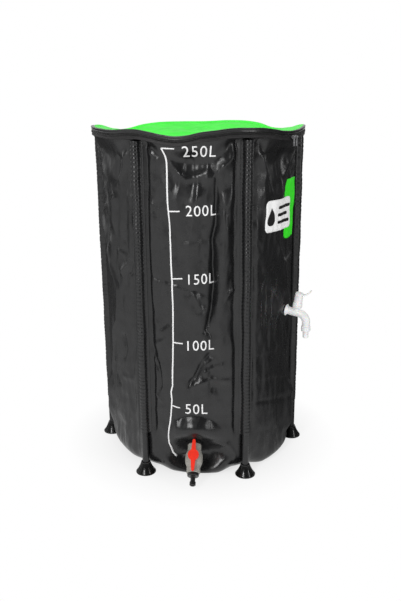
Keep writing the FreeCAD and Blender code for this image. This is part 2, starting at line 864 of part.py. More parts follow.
def make_sleeve(place, azimuth):
    """Film strip over the pole, its two wings welded to the wall."""
    body = new_body(f"sleeve_{place}")
    inner = POLE_RADIUS + S["sleeve_play"]
    outer = inner + S["sleeve_thickness"]
    back = -inner
    front = S["sleeve_thickness"] - inner
    half = S["sleeve_width"] / 2
    flank = S["sleeve_flank"] / 2
    crown = outer * 0.45
    inner_crown = inner * 0.45
    sketch = new_sketch(body, "section", "XY_Plane")
    draw_outline(sketch, [
        (back, -half),
        (front, -half),
        (front, -flank),
        (crown, -outer.leg(crown), outer),
        (crown, outer.leg(crown)),
        (front, flank),
        (front, half),
        (back, half),
        (back, flank - S["sleeve_thickness"]),
        (inner_crown, inner.leg(inner_crown), -inner),
        (inner_crown, -inner.leg(inner_crown)),
        (back, -flank + S["sleeve_thickness"]),
    ])
    top = S["rim_height"] + S[f"rise_{place}"] - S["sleeve_drop"]
    pad(body, sketch, top - S["sleeve_bottom"], "strip")
    body.Placement = upright(POLE_RING, azimuth, S["sleeve_bottom"])
    return body


# Fittings

def groove(body, points, name):
    """Turned cut: the outline's x is the radius and its y is the height."""
    sketch = draw_outline(new_sketch(body, f"{name}_profile", "XZ_Plane"), points)
    cut = body.newObject("PartDesign::Groove", name)
    cut.Profile = sketch
    cut.ReferenceAxis = (sketch, ["V_Axis"])
    cut.Angle = DEGREES_ROUND
    return cut


def upward(body, sketch, length, name):
    """Pad from the middle plane towards the fitting's top."""
    feature = pad(body, sketch, length, name)
    feature.Reversed = True
    return feature


def drill_up(body, x, y, radius, length, name):
    """Round hole from the middle plane towards the fitting's top."""
    sketch = draw_circle(new_sketch(body, f"{name}_circle", "XZ_Plane"), x, y, radius)
    feature = body.newObject("PartDesign::Pocket", name)
    feature.Profile = sketch
    bind(feature, Length=length)
    return feature


def on_axis(placement, up, out, turned=False):
    """Place on a fitting. Turned, local Z points to the fitting's top."""
    local = FreeCAD.Placement(V(0, float(up), float(out)), FreeCAD.Rotation())
    if turned:
        local = local * FreeCAD.Placement(V(), FreeCAD.Rotation(V(1, 0, 0), -90))
    return placement * local


def make_seals(kind, placement, spigot, flange):
    """Gaskets on both sides of the wall and the nut that clamps them."""
    outer_face = S["seat_gap"]
    inner_face = -S["wall_thickness"] - S["seat_gap"]
    thick = S["gasket_thickness"]
    bore = spigot + S["fit_play"]
    ring_part(f"{kind}_gasket_outer", bore, flange - 1, outer_face, outer_face + thick, placement)
    ring_part(f"{kind}_gasket_inner", bore, flange - 1, inner_face - thick, inner_face, placement)
    nut = new_body(f"{kind}_lock_nut")
    outline = new_sketch(nut, "hexagon", "XY_Plane")
    corner = flange - 1
    half = corner / 2
    flat = corner.leg(half)
    draw_outline(outline, [(corner, 0), (half, flat), (-half, flat), (-corner, 0), (-half, -flat), (half, -flat)])
    pad(nut, outline, spigot * 0.6, "blank")
    drill = draw_circle(new_sketch(nut, "bore_circle", "XY_Plane"), 0, 0, bore)
    pocket(nut, drill, "bore")
    nut.Placement = placement * FreeCAD.Placement(V(0, 0, float(inner_face - thick - spigot * 0.6)), FreeCAD.Rotation())
    return outer_face + thick, inner_face - thick - spigot * 0.6 - 2


def make_drain():
    """Ball valve: bulkhead, body, ball between two seats, stem and handle, end cap and hose nipple."""
    place = fitting_placement("drain")
    bore, spigot = S["drain_bore"], S["drain_spigot"]
    face, tail = make_seals("drain", place, spigot, S["drain_flange"])
    flange_out = face + S["drain_flange_thickness"]
    middle = S["ball_centre"]
    start = flange_out + S["fit_play"]
    neck_end = start + S["seat_length"]
    cavity = S["ball_radius"] + 0.6
    cavity_in = middle - S["ball_radius"] - 2
    cavity_out = middle + S["ball_radius"] + 2
    end = start + S["valve_length"]
    radius, bulge = S["valve_radius"], S["valve_bulge"]
    turned_part("drain_bulkhead", [
        (bore, tail),
        (spigot, tail),
        (spigot, face),
        (S["drain_flange"], face),
        (S["drain_flange"], flange_out),
        (S["drain_neck"], flange_out),
        (S["drain_neck"], neck_end),
        (bore, neck_end),
    ], place)
    valve = new_body("valve_body")
    revolve(valve, [
        (0, start),
        (radius, start),
        (radius, middle - bulge),
        (bulge, middle - bulge * 0.55, S["valve_length"]),
        (bulge, middle + bulge * 0.55),
        (radius, middle + bulge),
        (radius, end),
        (0, end),
    ], "shell")
    boss = draw_circle(new_sketch(valve, "boss_circle", "XZ_Plane"), 0, middle, S["boss_radius"])
    upward(valve, boss, S["boss_height"], "boss")
    groove(valve, [
        (0, start - 1),
        (S["drain_neck"] + S["fit_play"], start - 1),
        (S["drain_neck"] + S["fit_play"], neck_end + S["fit_play"]),
        (bore, neck_end + S["fit_play"]),
        (bore, cavity_in),
        (cavity, cavity_in),
        (cavity, end + 1),
        (0, end + 1),
    ], "bores")
    drill_up(valve, 0, middle, S["stem_radius"] + S["fit_play"], S["boss_height"] + 1, "stem_bore")
    valve.Placement = place
    make_ball(place, middle, bore)
    for name, side in (("seat_inner", -1), ("seat_outer", 1)):
        make_seat(f"ball_{name}", place, middle, cavity, bore, side)
    turned_part("valve_end_cap", [
        (bore, cavity_out),
        (cavity - S["fit_play"], cavity_out),
        (cavity - S["fit_play"], end),
        (radius, end),
        (radius, end + S["end_length"] - 2),
        (radius - 2, end + S["end_length"]),
        (bore, end + S["end_length"]),
    ], place)
    make_nipple(place, end + S["end_length"], bore)
    make_stem(place, middle)
    make_handle(place, middle)


def make_ball(place, middle, bore):
    """Ball with a cross bore and a slot for the stem's blade."""
    ball = new_body("valve_ball")
    flat = S["ball_radius"].leg(bore)
    revolve(ball, [(bore, -flat, S["ball_radius"]), (bore, flat)], "sphere")
    slot = draw_circle(new_sketch(ball, "slot_circle", "XZ_Plane"), 0, 0, S["stem_radius"] + S["fit_play"])
    cut = ball.newObject("PartDesign::Pocket", "slot")
    cut.Profile = slot
    bind(cut, Length=S["ball_radius"] + 1)
    ball.Placement = on_axis(place, 0, middle)
    return ball


def make_seat(name, place, middle, cavity, bore, side):
    """Seat ring with a face hollowed to the ball."""
    hollow = S["ball_radius"] + S["seat_gap"]
    inner = bore + 0.5
    outer = cavity - S["fit_play"]
    back = S["ball_radius"] + 2 - S["fit_play"]
    lip = hollow * 0.93
    body = new_body(name)
    revolve(body, [
        (inner, -back),
        (outer, -back),
        (outer, -hollow.leg(lip)),
        (lip, -hollow.leg(lip), -hollow),
        (inner, -hollow.leg(inner)),
    ], "ring")
    turn = FreeCAD.Rotation(V(1, 0, 0), 0 if side < 0 else 180)
    body.Placement = on_axis(place, 0, middle) * FreeCAD.Placement(V(), turn)
    return body


def make_nipple(place, start, bore):
    """Black hose nipple: collar, neck and the head that a hose coupling snaps over."""
    neck, head = S["nipple_neck"], S["nipple_head"]
    collar_end = start + S["nipple_collar_length"]
    tip = start + S["nipple_length"]
    turned_part("hose_nipple", [
        (S["nipple_bore"], start + 2),
        (S["nipple_collar"] - 3, start + 2),
        (S["nipple_collar"] - 3, start),
        (S["nipple_collar"], start),
        (S["nipple_collar"], collar_end - 2),
        (S["nipple_collar"] - 2, collar_end),
        (neck + 2, collar_end),
        (neck, collar_end + 3),
        (neck, tip - 13),
        (head, tip - 11),
        (head, tip - 2),
        (head - 2, tip),
        (S["nipple_bore"], tip),
    ], place)
    ring_part("nipple_washer", bore - 2, S["nipple_collar"] - 3.1, start + 0.1, start + 1.9, place)


def make_stem(place, middle):
    """Stem from the slot in the ball up to the handle, with an O-ring below its head."""
    low = S["ball_radius"].leg(S["stem_radius"]) - 3
    turned_part("valve_stem", [
        (0, low),
        (S["stem_radius"], low),
        (S["stem_radius"], S["stem_top"]),
        (0, S["stem_top"]),
    ], on_axis(place, 0, middle, turned=True))


def make_handle(place, middle):
    """Butterfly handle in line with the flow: a hub and two tapered arms."""
    body = new_body("valve_handle")
    hub = draw_circle(new_sketch(body, "hub_circle", "XY_Plane"), 0, 0, S["hub_radius"])
    pad(body, hub, S["hub_thickness"], "hub")
    arms = new_sketch(body, "arm_outline", "XY_Plane")
    tip = S["arm_width"] / 2
    root = S["arm_width"] * 0.8
    reach = S["arm_length"] - tip
    draw_outline(arms, [
        (root, -S["hub_radius"] / 2),
        (root, S["hub_radius"] / 2),
        (tip, reach, "cap"),
        (-tip, reach),
        (-root, S["hub_radius"] / 2),
        (-root, -S["hub_radius"] / 2),
        (-tip, -reach, "cap"),
        (tip, -reach),
    ])
    pad(body, arms, S["hub_thickness"] * 0.8, "arms")
    hole = draw_circle(new_sketch(body, "stem_circle", "XY_Plane"), 0, 0, S["stem_radius"] + S["fit_play"])
    socket = body.newObject("PartDesign::Pocket", "stem_socket")
    socket.Profile = hole
    socket.Reversed = True
    bind(socket, Length=S["stem_top"] - S["boss_height"] - S["seat_gap"] + S["fit_play"])
    body.Placement = on_axis(place, S["boss_height"] + S["seat_gap"], middle, turned=True)
    return body


def sweep(body, name, section_radius, path, base, cut=False):
    """Round bar, or round bore, along a path sketch that starts at the given height."""
    ring = draw_circle(new_sketch(body, f"{name}_section", "XY_Plane"), 0, 0, section_radius)
    ring.AttachmentOffset = FreeCAD.Placement(V(0, 0, base.number), FreeCAD.Rotation())
    ring.setExpression("AttachmentOffset.Base.z", base.text)
    pipe = body.newObject("PartDesign::SubtractivePipe" if cut else "PartDesign::AdditivePipe", name)
    pipe.Profile = ring
    pipe.Spine = path
    return pipe


def spout_end():
    """Where the bend ends, and the way on from there: straight down, in the fitting's upright middle plane."""
    droop = math.radians(S["tap_droop"].number)
    bend = S["spout_bend"]
    down = (Length(-math.cos(droop), "(-1 * cos(Sizes.tap_droop * 1 deg))"),
            Length(math.sin(droop), "sin(Sizes.tap_droop * 1 deg)"))
    corner = (bend * (down[1] - 1), S["spout_out"] - bend * down[0])
    return corner, down


def spout_path(body, name, base):
    """Line out of the wall, bend, and line down."""
    bend, out = S["spout_bend"], S["spout_out"]
    corner, down = spout_end()
    end = [corner[axis] + down[axis] * S["spout_drop"] for axis in (0, 1)]
    sketch = new_sketch(body, name, "YZ_Plane")
    places = [(ORIGIN, base), (ORIGIN, out), corner, end]
    corners = [V(x.number, y.number, 0) for x, y in places]
    first = sketch.addGeometry(Part.LineSegment(corners[0], corners[1]), False)
    arc = sketch.addGeometry(arc_geometry(corners[1], corners[2], bend.number), False)
    last = sketch.addGeometry(Part.LineSegment(corners[2], corners[3]), False)
    sketch.addConstraint(Sketcher.Constraint("Coincident", first, 2, arc, 1))
    sketch.addConstraint(Sketcher.Constraint("Coincident", arc, 2, last, 1))
    tie_point(sketch, first, 1, *places[0])
    tie_point(sketch, arc, 1, *places[1])
    tie_point(sketch, arc, 3, -bend, out)
    tie(sketch, Sketcher.Constraint("DistanceX", arc, 2, corner[0].number), corner[0])
    tie_point(sketch, last, 2, *places[3])
    return sketch


def make_tap():
    """Plastic tap: barrel and bent spout, plug and spindle, bonnet, lever and hose nozzle."""
    place = fitting_placement("tap")
    face, tail = make_seals("tap", place, S["tap_spigot"], S["tap_flange"])
    barrel, bore = S["tap_barrel"], S["tap_bore"]
    middle = S["tap_axis_out"]
    tap = new_body("tap_body")
    revolve(tap, [
        (0, tail),
        (S["tap_spigot"], tail),
        (S["tap_spigot"], face),
        (S["tap_flange"], face),
        (S["tap_flange"], face + 2),
        (barrel + 2, face + 4),
        (barrel, face + 7),
        (0, face + 7),
    ], "flange")
    sweep(tap, "spout", barrel, spout_path(tap, "spout_path", face + 6), face + 6)
    sweep(tap, "waterway", bore, spout_path(tap, "waterway_path", tail), tail, cut=True)
    seat = draw_circle(new_sketch(tap, "plug_seat_circle", "XZ_Plane"), 0, middle, S["plug_radius"] + 1.5)
    upward(tap, seat, S["bonnet_bottom"], "plug_housing")
    drill_up(tap, 0, middle, S["plug_radius"] + S["fit_play"], S["bonnet_bottom"] + 1, "plug_bore")
    tap.Placement = place
    upright_place = on_axis(place, 0, middle, turned=True)
    make_bonnet(upright_place)
    make_spindle(upright_place, bore)
    make_lever(upright_place)
    make_nozzle(place)


def make_bonnet(placement):
    """White bonnet over the plug, waisted below its cap."""
    radius, low, high = S["bonnet_radius"], S["bonnet_bottom"], S["bonnet_top"]
    bore = S["spindle_radius"] + S["fit_play"]
    turned_part("tap_bonnet", [
        (bore, low + S["fit_play"]),
        (radius - 2, low + S["fit_play"]),
        (radius, low + 3),
        (radius, low + S["bonnet_band"]),
        (radius - 1.5, low + S["bonnet_band"] + 2),
        (radius - 1.5, high - 3),
        (radius - 4, high),
        (bore, high),
    ], placement)


def make_spindle(placement, bore):
    """Plug with a cross bore in the barrel, and the spindle that turns it."""
    body = new_body("tap_spindle")
    plug, rod = S["plug_radius"], S["spindle_radius"]
    revolve(body, [
        (0, S["seat_gap"]),
        (plug, S["seat_gap"]),
        (plug, S["bonnet_bottom"] - S["seat_gap"]),
        (rod, S["bonnet_bottom"] - S["seat_gap"]),
        (rod, S["bonnet_top"] + S["lever_thickness"]),
        (0, S["bonnet_top"] + S["lever_thickness"]),
    ], "plug")
    body.Placement = placement


def make_lever(placement):
    """Lever on the spindle's end: a hub, and a blade that curls up as it reaches out."""
    body = new_body("tap_lever")
    low = S["bonnet_top"] + S["seat_gap"]
    thick = S["lever_thickness"]
    reach, rise = S["lever_reach"], S["lever_rise"]
    hub = S["bonnet_radius"] - 2
    revolve(body, [(0, low), (hub, low), (hub, low + thick), (hub - 2, low + thick + 2), (0, low + thick + 2)], "hub")
    side = new_sketch(body, "blade_outline", "YZ_Plane")
    draw_outline(side, [
        (0, low + thick * 0.2),
        (-reach * 0.5, low + thick * 0.2, -reach),
        (-reach, low + rise),
        (-reach, low + rise + thick * 0.5),
        (-reach + thick * 0.5, low + rise + thick * 0.6, reach),
        (-reach * 0.45, low + thick),
        (0, low + thick),
    ])
    pad(body, side, S["lever_width"], "blade", midplane=True)
    drill = draw_circle(new_sketch(body, "spindle_circle", "XY_Plane"), 0, 0, S["spindle_radius"] + S["fit_play"])
    hole = body.newObject("PartDesign::Pocket", "spindle_socket")
    hole.Profile = drill
    hole.Reversed = True
    bind(hole, Length=S["bonnet_top"] + thick + S["fit_play"])
    body.Placement = placement
    return body


def nozzle_place(place):
    """Place of the spout's end: local Z points down."""
    corner, down = spout_end()
    up, out = [float(corner[axis] + down[axis] * S["spout_drop"]) for axis in (0, 1)]
    axis = V(0, float(down[0]), float(down[1]))
    return place * FreeCAD.Placement(V(0, up, out), FreeCAD.Rotation(V(0, 0, 1), axis))


def make_nozzle(place):
    """Collar and hose nozzle at the end of the spout."""
    collar, barrel = S["nozzle_collar"], S["tap_barrel"] + S["fit_play"]
    shoulder = collar * 0.8
    tip = shoulder + S["nozzle_length"]
    bore = S["tap_bore"] - 1
    skirt = -collar * 0.4
    turned_part("tap_nozzle", [
        (barrel, skirt),
        (collar, skirt),
        (collar + 1, skirt + 1),
        (collar + 1, shoulder - 3),
        (collar - 1, shoulder),
        (S["nozzle_radius"], shoulder),
        (S["nozzle_radius"], tip - 1.5),
        (S["nozzle_radius"] - 1, tip),
        (bore, tip),
        (bore, S["fit_play"]),
        (barrel, S["fit_play"]),
    ], nozzle_place(place))


def make_all():
    make_bag_wall()
    make_bag_base()
    make_rim()
    make_lid_panel()
    for number, azimuth in SLIDER_AZIMUTHS.items():
        make_slider(number, azimuth)
        make_pull_tab(number, azimuth)
    for place, azimuth in POLES.items():
        make_pole(place, azimuth)
        make_foot(place, azimuth)
        make_sleeve(place, azimuth)
    make_drain()
    make_tap()
    doc.recompute()


def sub_parts():
    """The pieces themselves: bodies, and shapes that belong to no body."""
    pieces = []
    for item in doc.Objects:
        if item.isDerivedFrom("PartDesign::Body"):
            pieces.append(item)
        elif item.isDerivedFrom("Part::Feature") and item.getParentGeoFeatureGroup() is None:
            pieces.append(item)
    return pieces


def check_model(pieces):
    for item in doc.Objects:
        if "Invalid" in item.State or "Error" in item.State:
            raise RuntimeError(f"{item.Label} failed: {item.State}")
    for item in pieces:
        if item.Shape.isNull() or not item.Shape.isValid() or len(item.Shape.Solids) != 1:
            raise RuntimeError(f"{item.Label} is not one sound solid")


def main():
    make_all()
    pieces = sub_parts()
    check_model(pieces)
    os.makedirs("parts", exist_ok=True)
    for item in pieces:
        item.Shape.exportStep(f"parts/{item.Label}.step")
    print(len(pieces), "sub-parts written")


main()
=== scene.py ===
"""Looks of the collapsible water tank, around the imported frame.

Blender's lengths are metres. The tables of the soft wall are millimetres and degrees round the tank.
The drain faces -Y and the tap is between it and +X.
"""

import json
import math

import bmesh
import bpy
import numpy as np
from mathutils import Matrix, Vector, noise
from mathutils.bvhtree import BVHTree


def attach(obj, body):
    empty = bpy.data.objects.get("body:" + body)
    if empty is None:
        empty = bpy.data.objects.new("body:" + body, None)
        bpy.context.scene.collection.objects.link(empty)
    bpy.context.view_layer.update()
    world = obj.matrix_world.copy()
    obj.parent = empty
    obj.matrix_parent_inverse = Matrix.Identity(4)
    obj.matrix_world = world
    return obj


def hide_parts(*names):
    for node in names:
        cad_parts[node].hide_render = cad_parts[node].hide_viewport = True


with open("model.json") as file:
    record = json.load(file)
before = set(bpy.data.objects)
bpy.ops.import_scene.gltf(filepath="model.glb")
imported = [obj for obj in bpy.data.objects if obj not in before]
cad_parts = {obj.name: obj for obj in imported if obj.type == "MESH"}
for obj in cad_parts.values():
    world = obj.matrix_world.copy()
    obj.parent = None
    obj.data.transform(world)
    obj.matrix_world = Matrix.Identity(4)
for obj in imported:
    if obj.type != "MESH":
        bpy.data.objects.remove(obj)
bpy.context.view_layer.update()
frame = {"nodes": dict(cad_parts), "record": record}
NODES = frame["nodes"]

MM = 0.001

# Radii of the wall, of the base's flat, of the rim and of the ring of poles
WALL_RADIUS = 289
BASE_RADIUS = 224
RIM_RADIUS = 311.6
POLE_RING = 299.7

# Thickness of the bag's film, of the lid's and of a sleeve's
FILM = 2
LID_FILM = 1.2
SLEEVE_FILM = 1.0

# Azimuth of each pole
POLES = {"right": 0, "back_right": 60, "back_left": 120, "left": 180, "front_left": -120, "front_right": -60}

# Height of the rim's top edge round the tank: it hangs between the poles
RIM_LINE = [
    (-180, 1007), (-164, 1009), (-148, 1007.5), (-136, 1006), (-124, 1010), (-116, 1010), (-110, 1005),
    (-104, 998.5), (-97, 994.3), (-91, 997), (-85, 1004), (-78, 1008), (-71, 1012), (-60, 1012.5),
    (-48, 1008), (-40, 1001), (-32, 998), (-22, 999.5), (-10, 1004), (0, 1005), (12, 1001), (24, 991),
    (36, 984), (45, 985.5),
    (53, 996), (62, 1002), (74, 1003.5), (90, 1000), (105, 1000.5), (120, 999.5), (131, 994), (141, 985),
    (149, 984), (158, 992), (168, 1003),
]

# Height of the band of skirt and zip, and the drop from the rim's top to the hem of the bag's film
BAND_HEIGHT = 25
HEM_DROP = 15

# How far the film pulls the rim in between the poles
RIM_PULL = 1.5


# Materials

# Radians that a wave texture of scale 1 turns through in a metre
WAVE_RADIANS = 20


def colour(text):
    """Linear colour of an sRGB hex value."""
    parts = [int(text[i:i + 2], 16) / 255 for i in (1, 3, 5)]
    return [c / 12.92 if c <= 0.04045 else ((c + 0.055) / 1.055) ** 2.4 for c in parts] + [1]


def place_in_scene(item):
    bpy.context.scene.collection.objects.link(item)


def add(tree, kind, inputs=None, links=None, **settings):
    """Adds a node with its settings, input values and links."""
    made = tree.nodes.new(kind)
    for key, value in settings.items():
        setattr(made, key, value)
    for key, value in (inputs or {}).items():
        made.inputs[key].default_value = value
    for key, source in (links or {}).items():
        tree.links.new(source, made.inputs[key])
    return made


def combine(tree, operation, first, second, **settings):
    """Joins two values by one operation of the math node."""
    joined = add(tree, "ShaderNodeMath", links={0: first, 1: second}, operation=operation, **settings)
    return joined.outputs[0]


def new_material(name):
    material = bpy.data.materials.new(name)
    material.use_nodes = True
    tree = material.node_tree
    tree.nodes.clear()
    return material, tree


def finish_material(tree, shader):
    add(tree, "ShaderNodeOutputMaterial", links={"Surface": shader.outputs[0]})


def object_place(tree):
    return add(tree, "ShaderNodeTexCoord").outputs["Object"]


def patches(tree, place, size_mm, detail, roughness=0.5):
    """Noise field with patches of one size."""
    inputs = {"Scale": 1 / (size_mm * MM), "Detail": detail, "Roughness": roughness}
    return add(tree, "ShaderNodeTexNoise", inputs, {"Vector": place}).outputs["Fac"]


def stripes(tree, place, period_mm, distortion, axis):
    """Soft ribs of one period across an axis."""
    inputs = {"Scale": 2 * math.pi / (period_mm * MM) / WAVE_RADIANS, "Distortion": distortion}
    return add(tree, "ShaderNodeTexWave", inputs, {"Vector": place}, bands_direction=axis).outputs["Fac"]


def relief(tree, height, strength, depth_mm, over=None):
    """Bump of one depth, laid over another one if it is given."""
    links = {"Height": height}
    if over is not None:
        links["Normal"] = over
    return add(tree, "ShaderNodeBump", {"Strength": strength, "Distance": depth_mm * MM}, links).outputs[0]


def mottled(tree, place, low, high, size_mm, spread=(0.35, 0.65)):
    """Colour that drifts between two values over patches of one size."""
    ramp = add(tree, "ShaderNodeValToRGB", links={"Fac": patches(tree, place, size_mm, 4, 0.6)})
    for stop, position, value in zip(ramp.color_ramp.elements, spread, (low, high)):
        stop.position = position
        stop.color = colour(value)
    return ramp.outputs["Color"]


def uneven(tree, field, low, high):
    """Value that follows a noise field from a low to a high end."""
    inputs = {"From Min": 0.3, "From Max": 0.7, "To Min": low, "To Max": high}
    return add(tree, "ShaderNodeMapRange", inputs, {"Value": field}).outputs[0]


def finish_skin(tree, inputs, links):
    finish_material(tree, add(tree, "ShaderNodeBsdfPrincipled", inputs, links))


def tarpaulin(name, low, high, roughness):
    """PVC-coated scrim, calendered: a soft gloss over a faint grid of threads and fine crumples.

    The scrim's real pitch is about 1 mm. It is drawn at 4.4 mm so that a close view shows it.
    """
    material, tree = new_material(name)
    place = object_place(tree)
    sheet = add(tree, "ShaderNodeUVMap", uv_map="sheet").outputs["UV"]
    base = mottled(tree, place, low, high, 60)
    threads = [stripes(tree, sheet, 4.4, 0.2, axis) for axis in ("X", "Y")]
    grain = relief(tree, combine(tree, "MULTIPLY", *threads), 0.25, 0.1)
    bump = relief(tree, patches(tree, place, 13, 2), 0.5, 1.0, grain)
    gloss = uneven(tree, patches(tree, place, 35, 6, 0.65), roughness - 0.07, roughness + 0.1)
    finish_skin(tree, {"IOR": 1.52}, {"Base Color": base, "Roughness": gloss, "Normal": bump})
    return material


def moulded(name, low, high, roughness, speck_mm=3.0, subsurface=0.0):
    """Injection-moulded plastic: an even skin with slight flow marks."""
    material, tree = new_material(name)
    place = object_place(tree)
    base = mottled(tree, place, low, high, speck_mm)
    bump = relief(tree, patches(tree, place, 1.2, 3), 0.12, 0.2)
    gloss = uneven(tree, patches(tree, place, 14, 5), roughness - 0.05, roughness + 0.08)
    finish_skin(tree, {"IOR": 1.5, "Subsurface Weight": subsurface, "Subsurface Scale": 2 * MM},
                {"Base Color": base, "Roughness": gloss, "Normal": bump})
    return material


def woven_tape(name, low, high):
    """Polyester zip tape: ribs 3 mm apart, dull."""
    material, tree = new_material(name)
    place = object_place(tree)
    base = mottled(tree, place, low, high, 12)
    bump = relief(tree, stripes(tree, place, 3, 0.6, "Z"), 0.5, 0.3)
    finish_skin(tree, {"IOR": 1.5, "Roughness": 0.6}, {"Base Color": base, "Normal": bump})
    return material


def cast_zinc(name):
    """Zinc pull, painted pale and rubbed: slightly metallic with a soft shine."""
    material, tree = new_material(name)
    base = mottled(tree, object_place(tree), "#7d7d7f", "#b4b4b6", 4)
    finish_skin(tree, {"Metallic": 0.6, "Roughness": 0.35}, {"Base Color": base})
    return material


def speckled_pvc(name):
    """Grey PVC ball valve, moulded from a granular mix: pale and dark specks about 1.5 mm wide."""
    material, tree = new_material(name)
    place = object_place(tree)
    base = mottled(tree, place, "#7f7d76", "#bab8b0", 1.6, (0.42, 0.58))
    bump = relief(tree, patches(tree, place, 1.6, 4), 0.3, 0.3)
    finish_skin(tree, {"IOR": 1.53, "Roughness": 0.42}, {"Base Color": base, "Normal": bump})
    return material


def screen_ink(name, shade):
    """Screen-printed ink: flat and even, with the film's fine crumple under it."""
    material, tree = new_material(name)
    place = object_place(tree)
    base = mottled(tree, place, shade, shade, 10)
    bump = relief(tree, patches(tree, place, 9, 4), 0.2, 0.4)
    finish_skin(tree, {"IOR": 1.5, "Roughness": 0.5}, {"Base Color": base, "Normal": bump})
    return material


FILM_BLACK = tarpaulin("pvc_tarpaulin_black", "#121213", "#19191a", 0.28)
FILM_GREEN = tarpaulin("pvc_tarpaulin_green", "#22f022", "#2cff2a", 0.5)
TAPE = woven_tape("polyester_zip_tape", "#171617", "#211f20")
COIL = moulded("nylon_zip_coil", "#131313", "#1e1e1e", 0.4)
ZINC = cast_zinc("painted_zinc_pull")
POLE_PVC = moulded("pvc_pipe_black", "#151516", "#1f1f20", 0.3, 30)
FOOT_PP = moulded("polypropylene_black_gloss", "#0c0c0c", "#141414", 0.2, 20)
VALVE_PVC = speckled_pvc("granular_pvc_grey")
HANDLE_ABS = moulded("abs_red", "#f6280c", "#ff3314", 0.36, 12)
NIPPLE_PP = moulded("polypropylene_black", "#0f0f0f", "#191919", 0.28, 15)
TAP_PP = moulded("polypropylene_white", "#ececec", "#f6f6f6", 0.3, 15, subsurface=0.15)
RUBBER = moulded("nitrile_rubber", "#0e0e0e", "#171717", 0.55, 6)
WHITE_INK = screen_ink("white_print", "#f8f8f8")
GREEN_INK = screen_ink("green_print", "#2cf008")
BLACK_INK = screen_ink("black_print", "#101010")
SLOT_MATERIALS = {
    "film_black": FILM_BLACK, "film_green": FILM_GREEN, "zip_tape": TAPE, "zip_coil": COIL, "zip_metal": ZINC,
    "pole_black": POLE_PVC, "foot_black": FOOT_PP, "valve_grey": VALVE_PVC, "handle_red": HANDLE_ABS,
    "nipple_black": NIPPLE_PP, "white_plastic": TAP_PP, "rubber": RUBBER,
}


# Pieces

# Vertices nearer than this are one
WELD = 1e-6


def make_piece(name, shape, material, body="tank", replaced=()):
    """Turns a finished bmesh into a piece that rides on a body."""
    mesh = bpy.data.meshes.new(name)
    shape.to_mesh(mesh)
    shape.free()
    for face in mesh.polygons:
        face.use_smooth = True
    piece = bpy.data.objects.new(name, mesh)
    place_in_scene(piece)
    mesh.materials.append(material)
    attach(piece, body)
    if replaced:
        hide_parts(*replaced)
    return piece


def chain(shape, points):
    """Edges through points in order."""
    vertices = [shape.verts.new(point) for point in points]
    return vertices + [shape.edges.new(pair) for pair in zip(vertices, vertices[1:])]


def turn_full(shape, geometry, steps):
    """Turns a line of edges all the way round the Z axis and closes it."""
    bmesh.ops.spin(shape, geom=geometry, cent=(0, 0, 0), axis=(0, 0, 1), angle=2 * math.pi, steps=steps,
                   use_merge=True)
    bmesh.ops.remove_doubles(shape, verts=shape.verts, dist=WELD)


def read_places(shape):
    """The places of a shape's vertices, one row each."""
    return np.array([vertex.co for vertex in shape.verts])


def write_places(shape, places):
    for vertex, place in zip(shape.verts, places):
        vertex.co = place


def outward(shape):
    bmesh.ops.recalc_face_normals(shape, faces=shape.faces)


def turn_towards(shape, side):
    """Turns an open sheet over if most of it faces away from the side that a function of a face measures."""
    if sum(side(face) for face in shape.faces) < 0:
        bmesh.ops.reverse_faces(shape, faces=shape.faces)


def lay_out(shape, place):
    """Flat coordinates of a sheet, from a function of a vertex's place."""
    uv = shape.loops.layers.uv.new("sheet")
    for face in shape.faces:
        for loop in face.loops:
            loop[uv].uv = place(loop.vert.co)


def thicken(shape, thickness):
    """Gives a sheet its thickness, inward from its outer side."""
    bmesh.ops.solidify(shape, geom=list(shape.faces), thickness=thickness)
    outward(shape)


def polar(radius, azimuth, height):
    """Places in metres from millimetres and degrees."""
    turn = np.radians(azimuth)
    return np.stack([radius * np.cos(turn), radius * np.sin(turn), height + 0 * turn], -1) * MM


def azimuths(places):
    """Degrees round the tank of each place."""
    return np.degrees(np.arctan2(places[:, 1], places[:, 0]))


def smooth(value):
    """Soft step from 0 to 1."""
    value = np.clip(value, 0, 1)
    return value * value * (3 - 2 * value)


def after(value, start, width):
    """Soft step that begins at a start and is done a width later."""
    return smooth((value - start) / width)


def turn_between(first, second):
    """Degrees from the second azimuth to the first, the short way."""
    return (first - second + 180) % 360 - 180


def rim_top(azimuth):
    """Height of the rim's top edge: a smooth closed line through the table."""
    knots = np.array([row[0] for row in RIM_LINE], float)
    heights = np.array([row[1] for row in RIM_LINE], float)
    knots = np.concatenate([knots[-3:] - 360, knots, knots[:3] + 360])
    heights = np.concatenate([heights[-3:], heights, heights[:3]])
    slopes = np.gradient(heights, knots)
    azimuth = turn_between(np.asarray(azimuth, float), 0)
    index = np.clip(np.searchsorted(knots, azimuth) - 1, 0, len(knots) - 2)
    gap = knots[index + 1] - knots[index]
    share = (azimuth - knots[index]) / gap
    rise = share * share * (3 - 2 * share)
    start = share * (1 - share) ** 2
    end = -share * share * (1 - share)
    return (heights[index] * (1 - rise) + heights[index + 1] * rise
            + gap * (slopes[index] * start + slopes[index + 1] * end))


# The soft wall

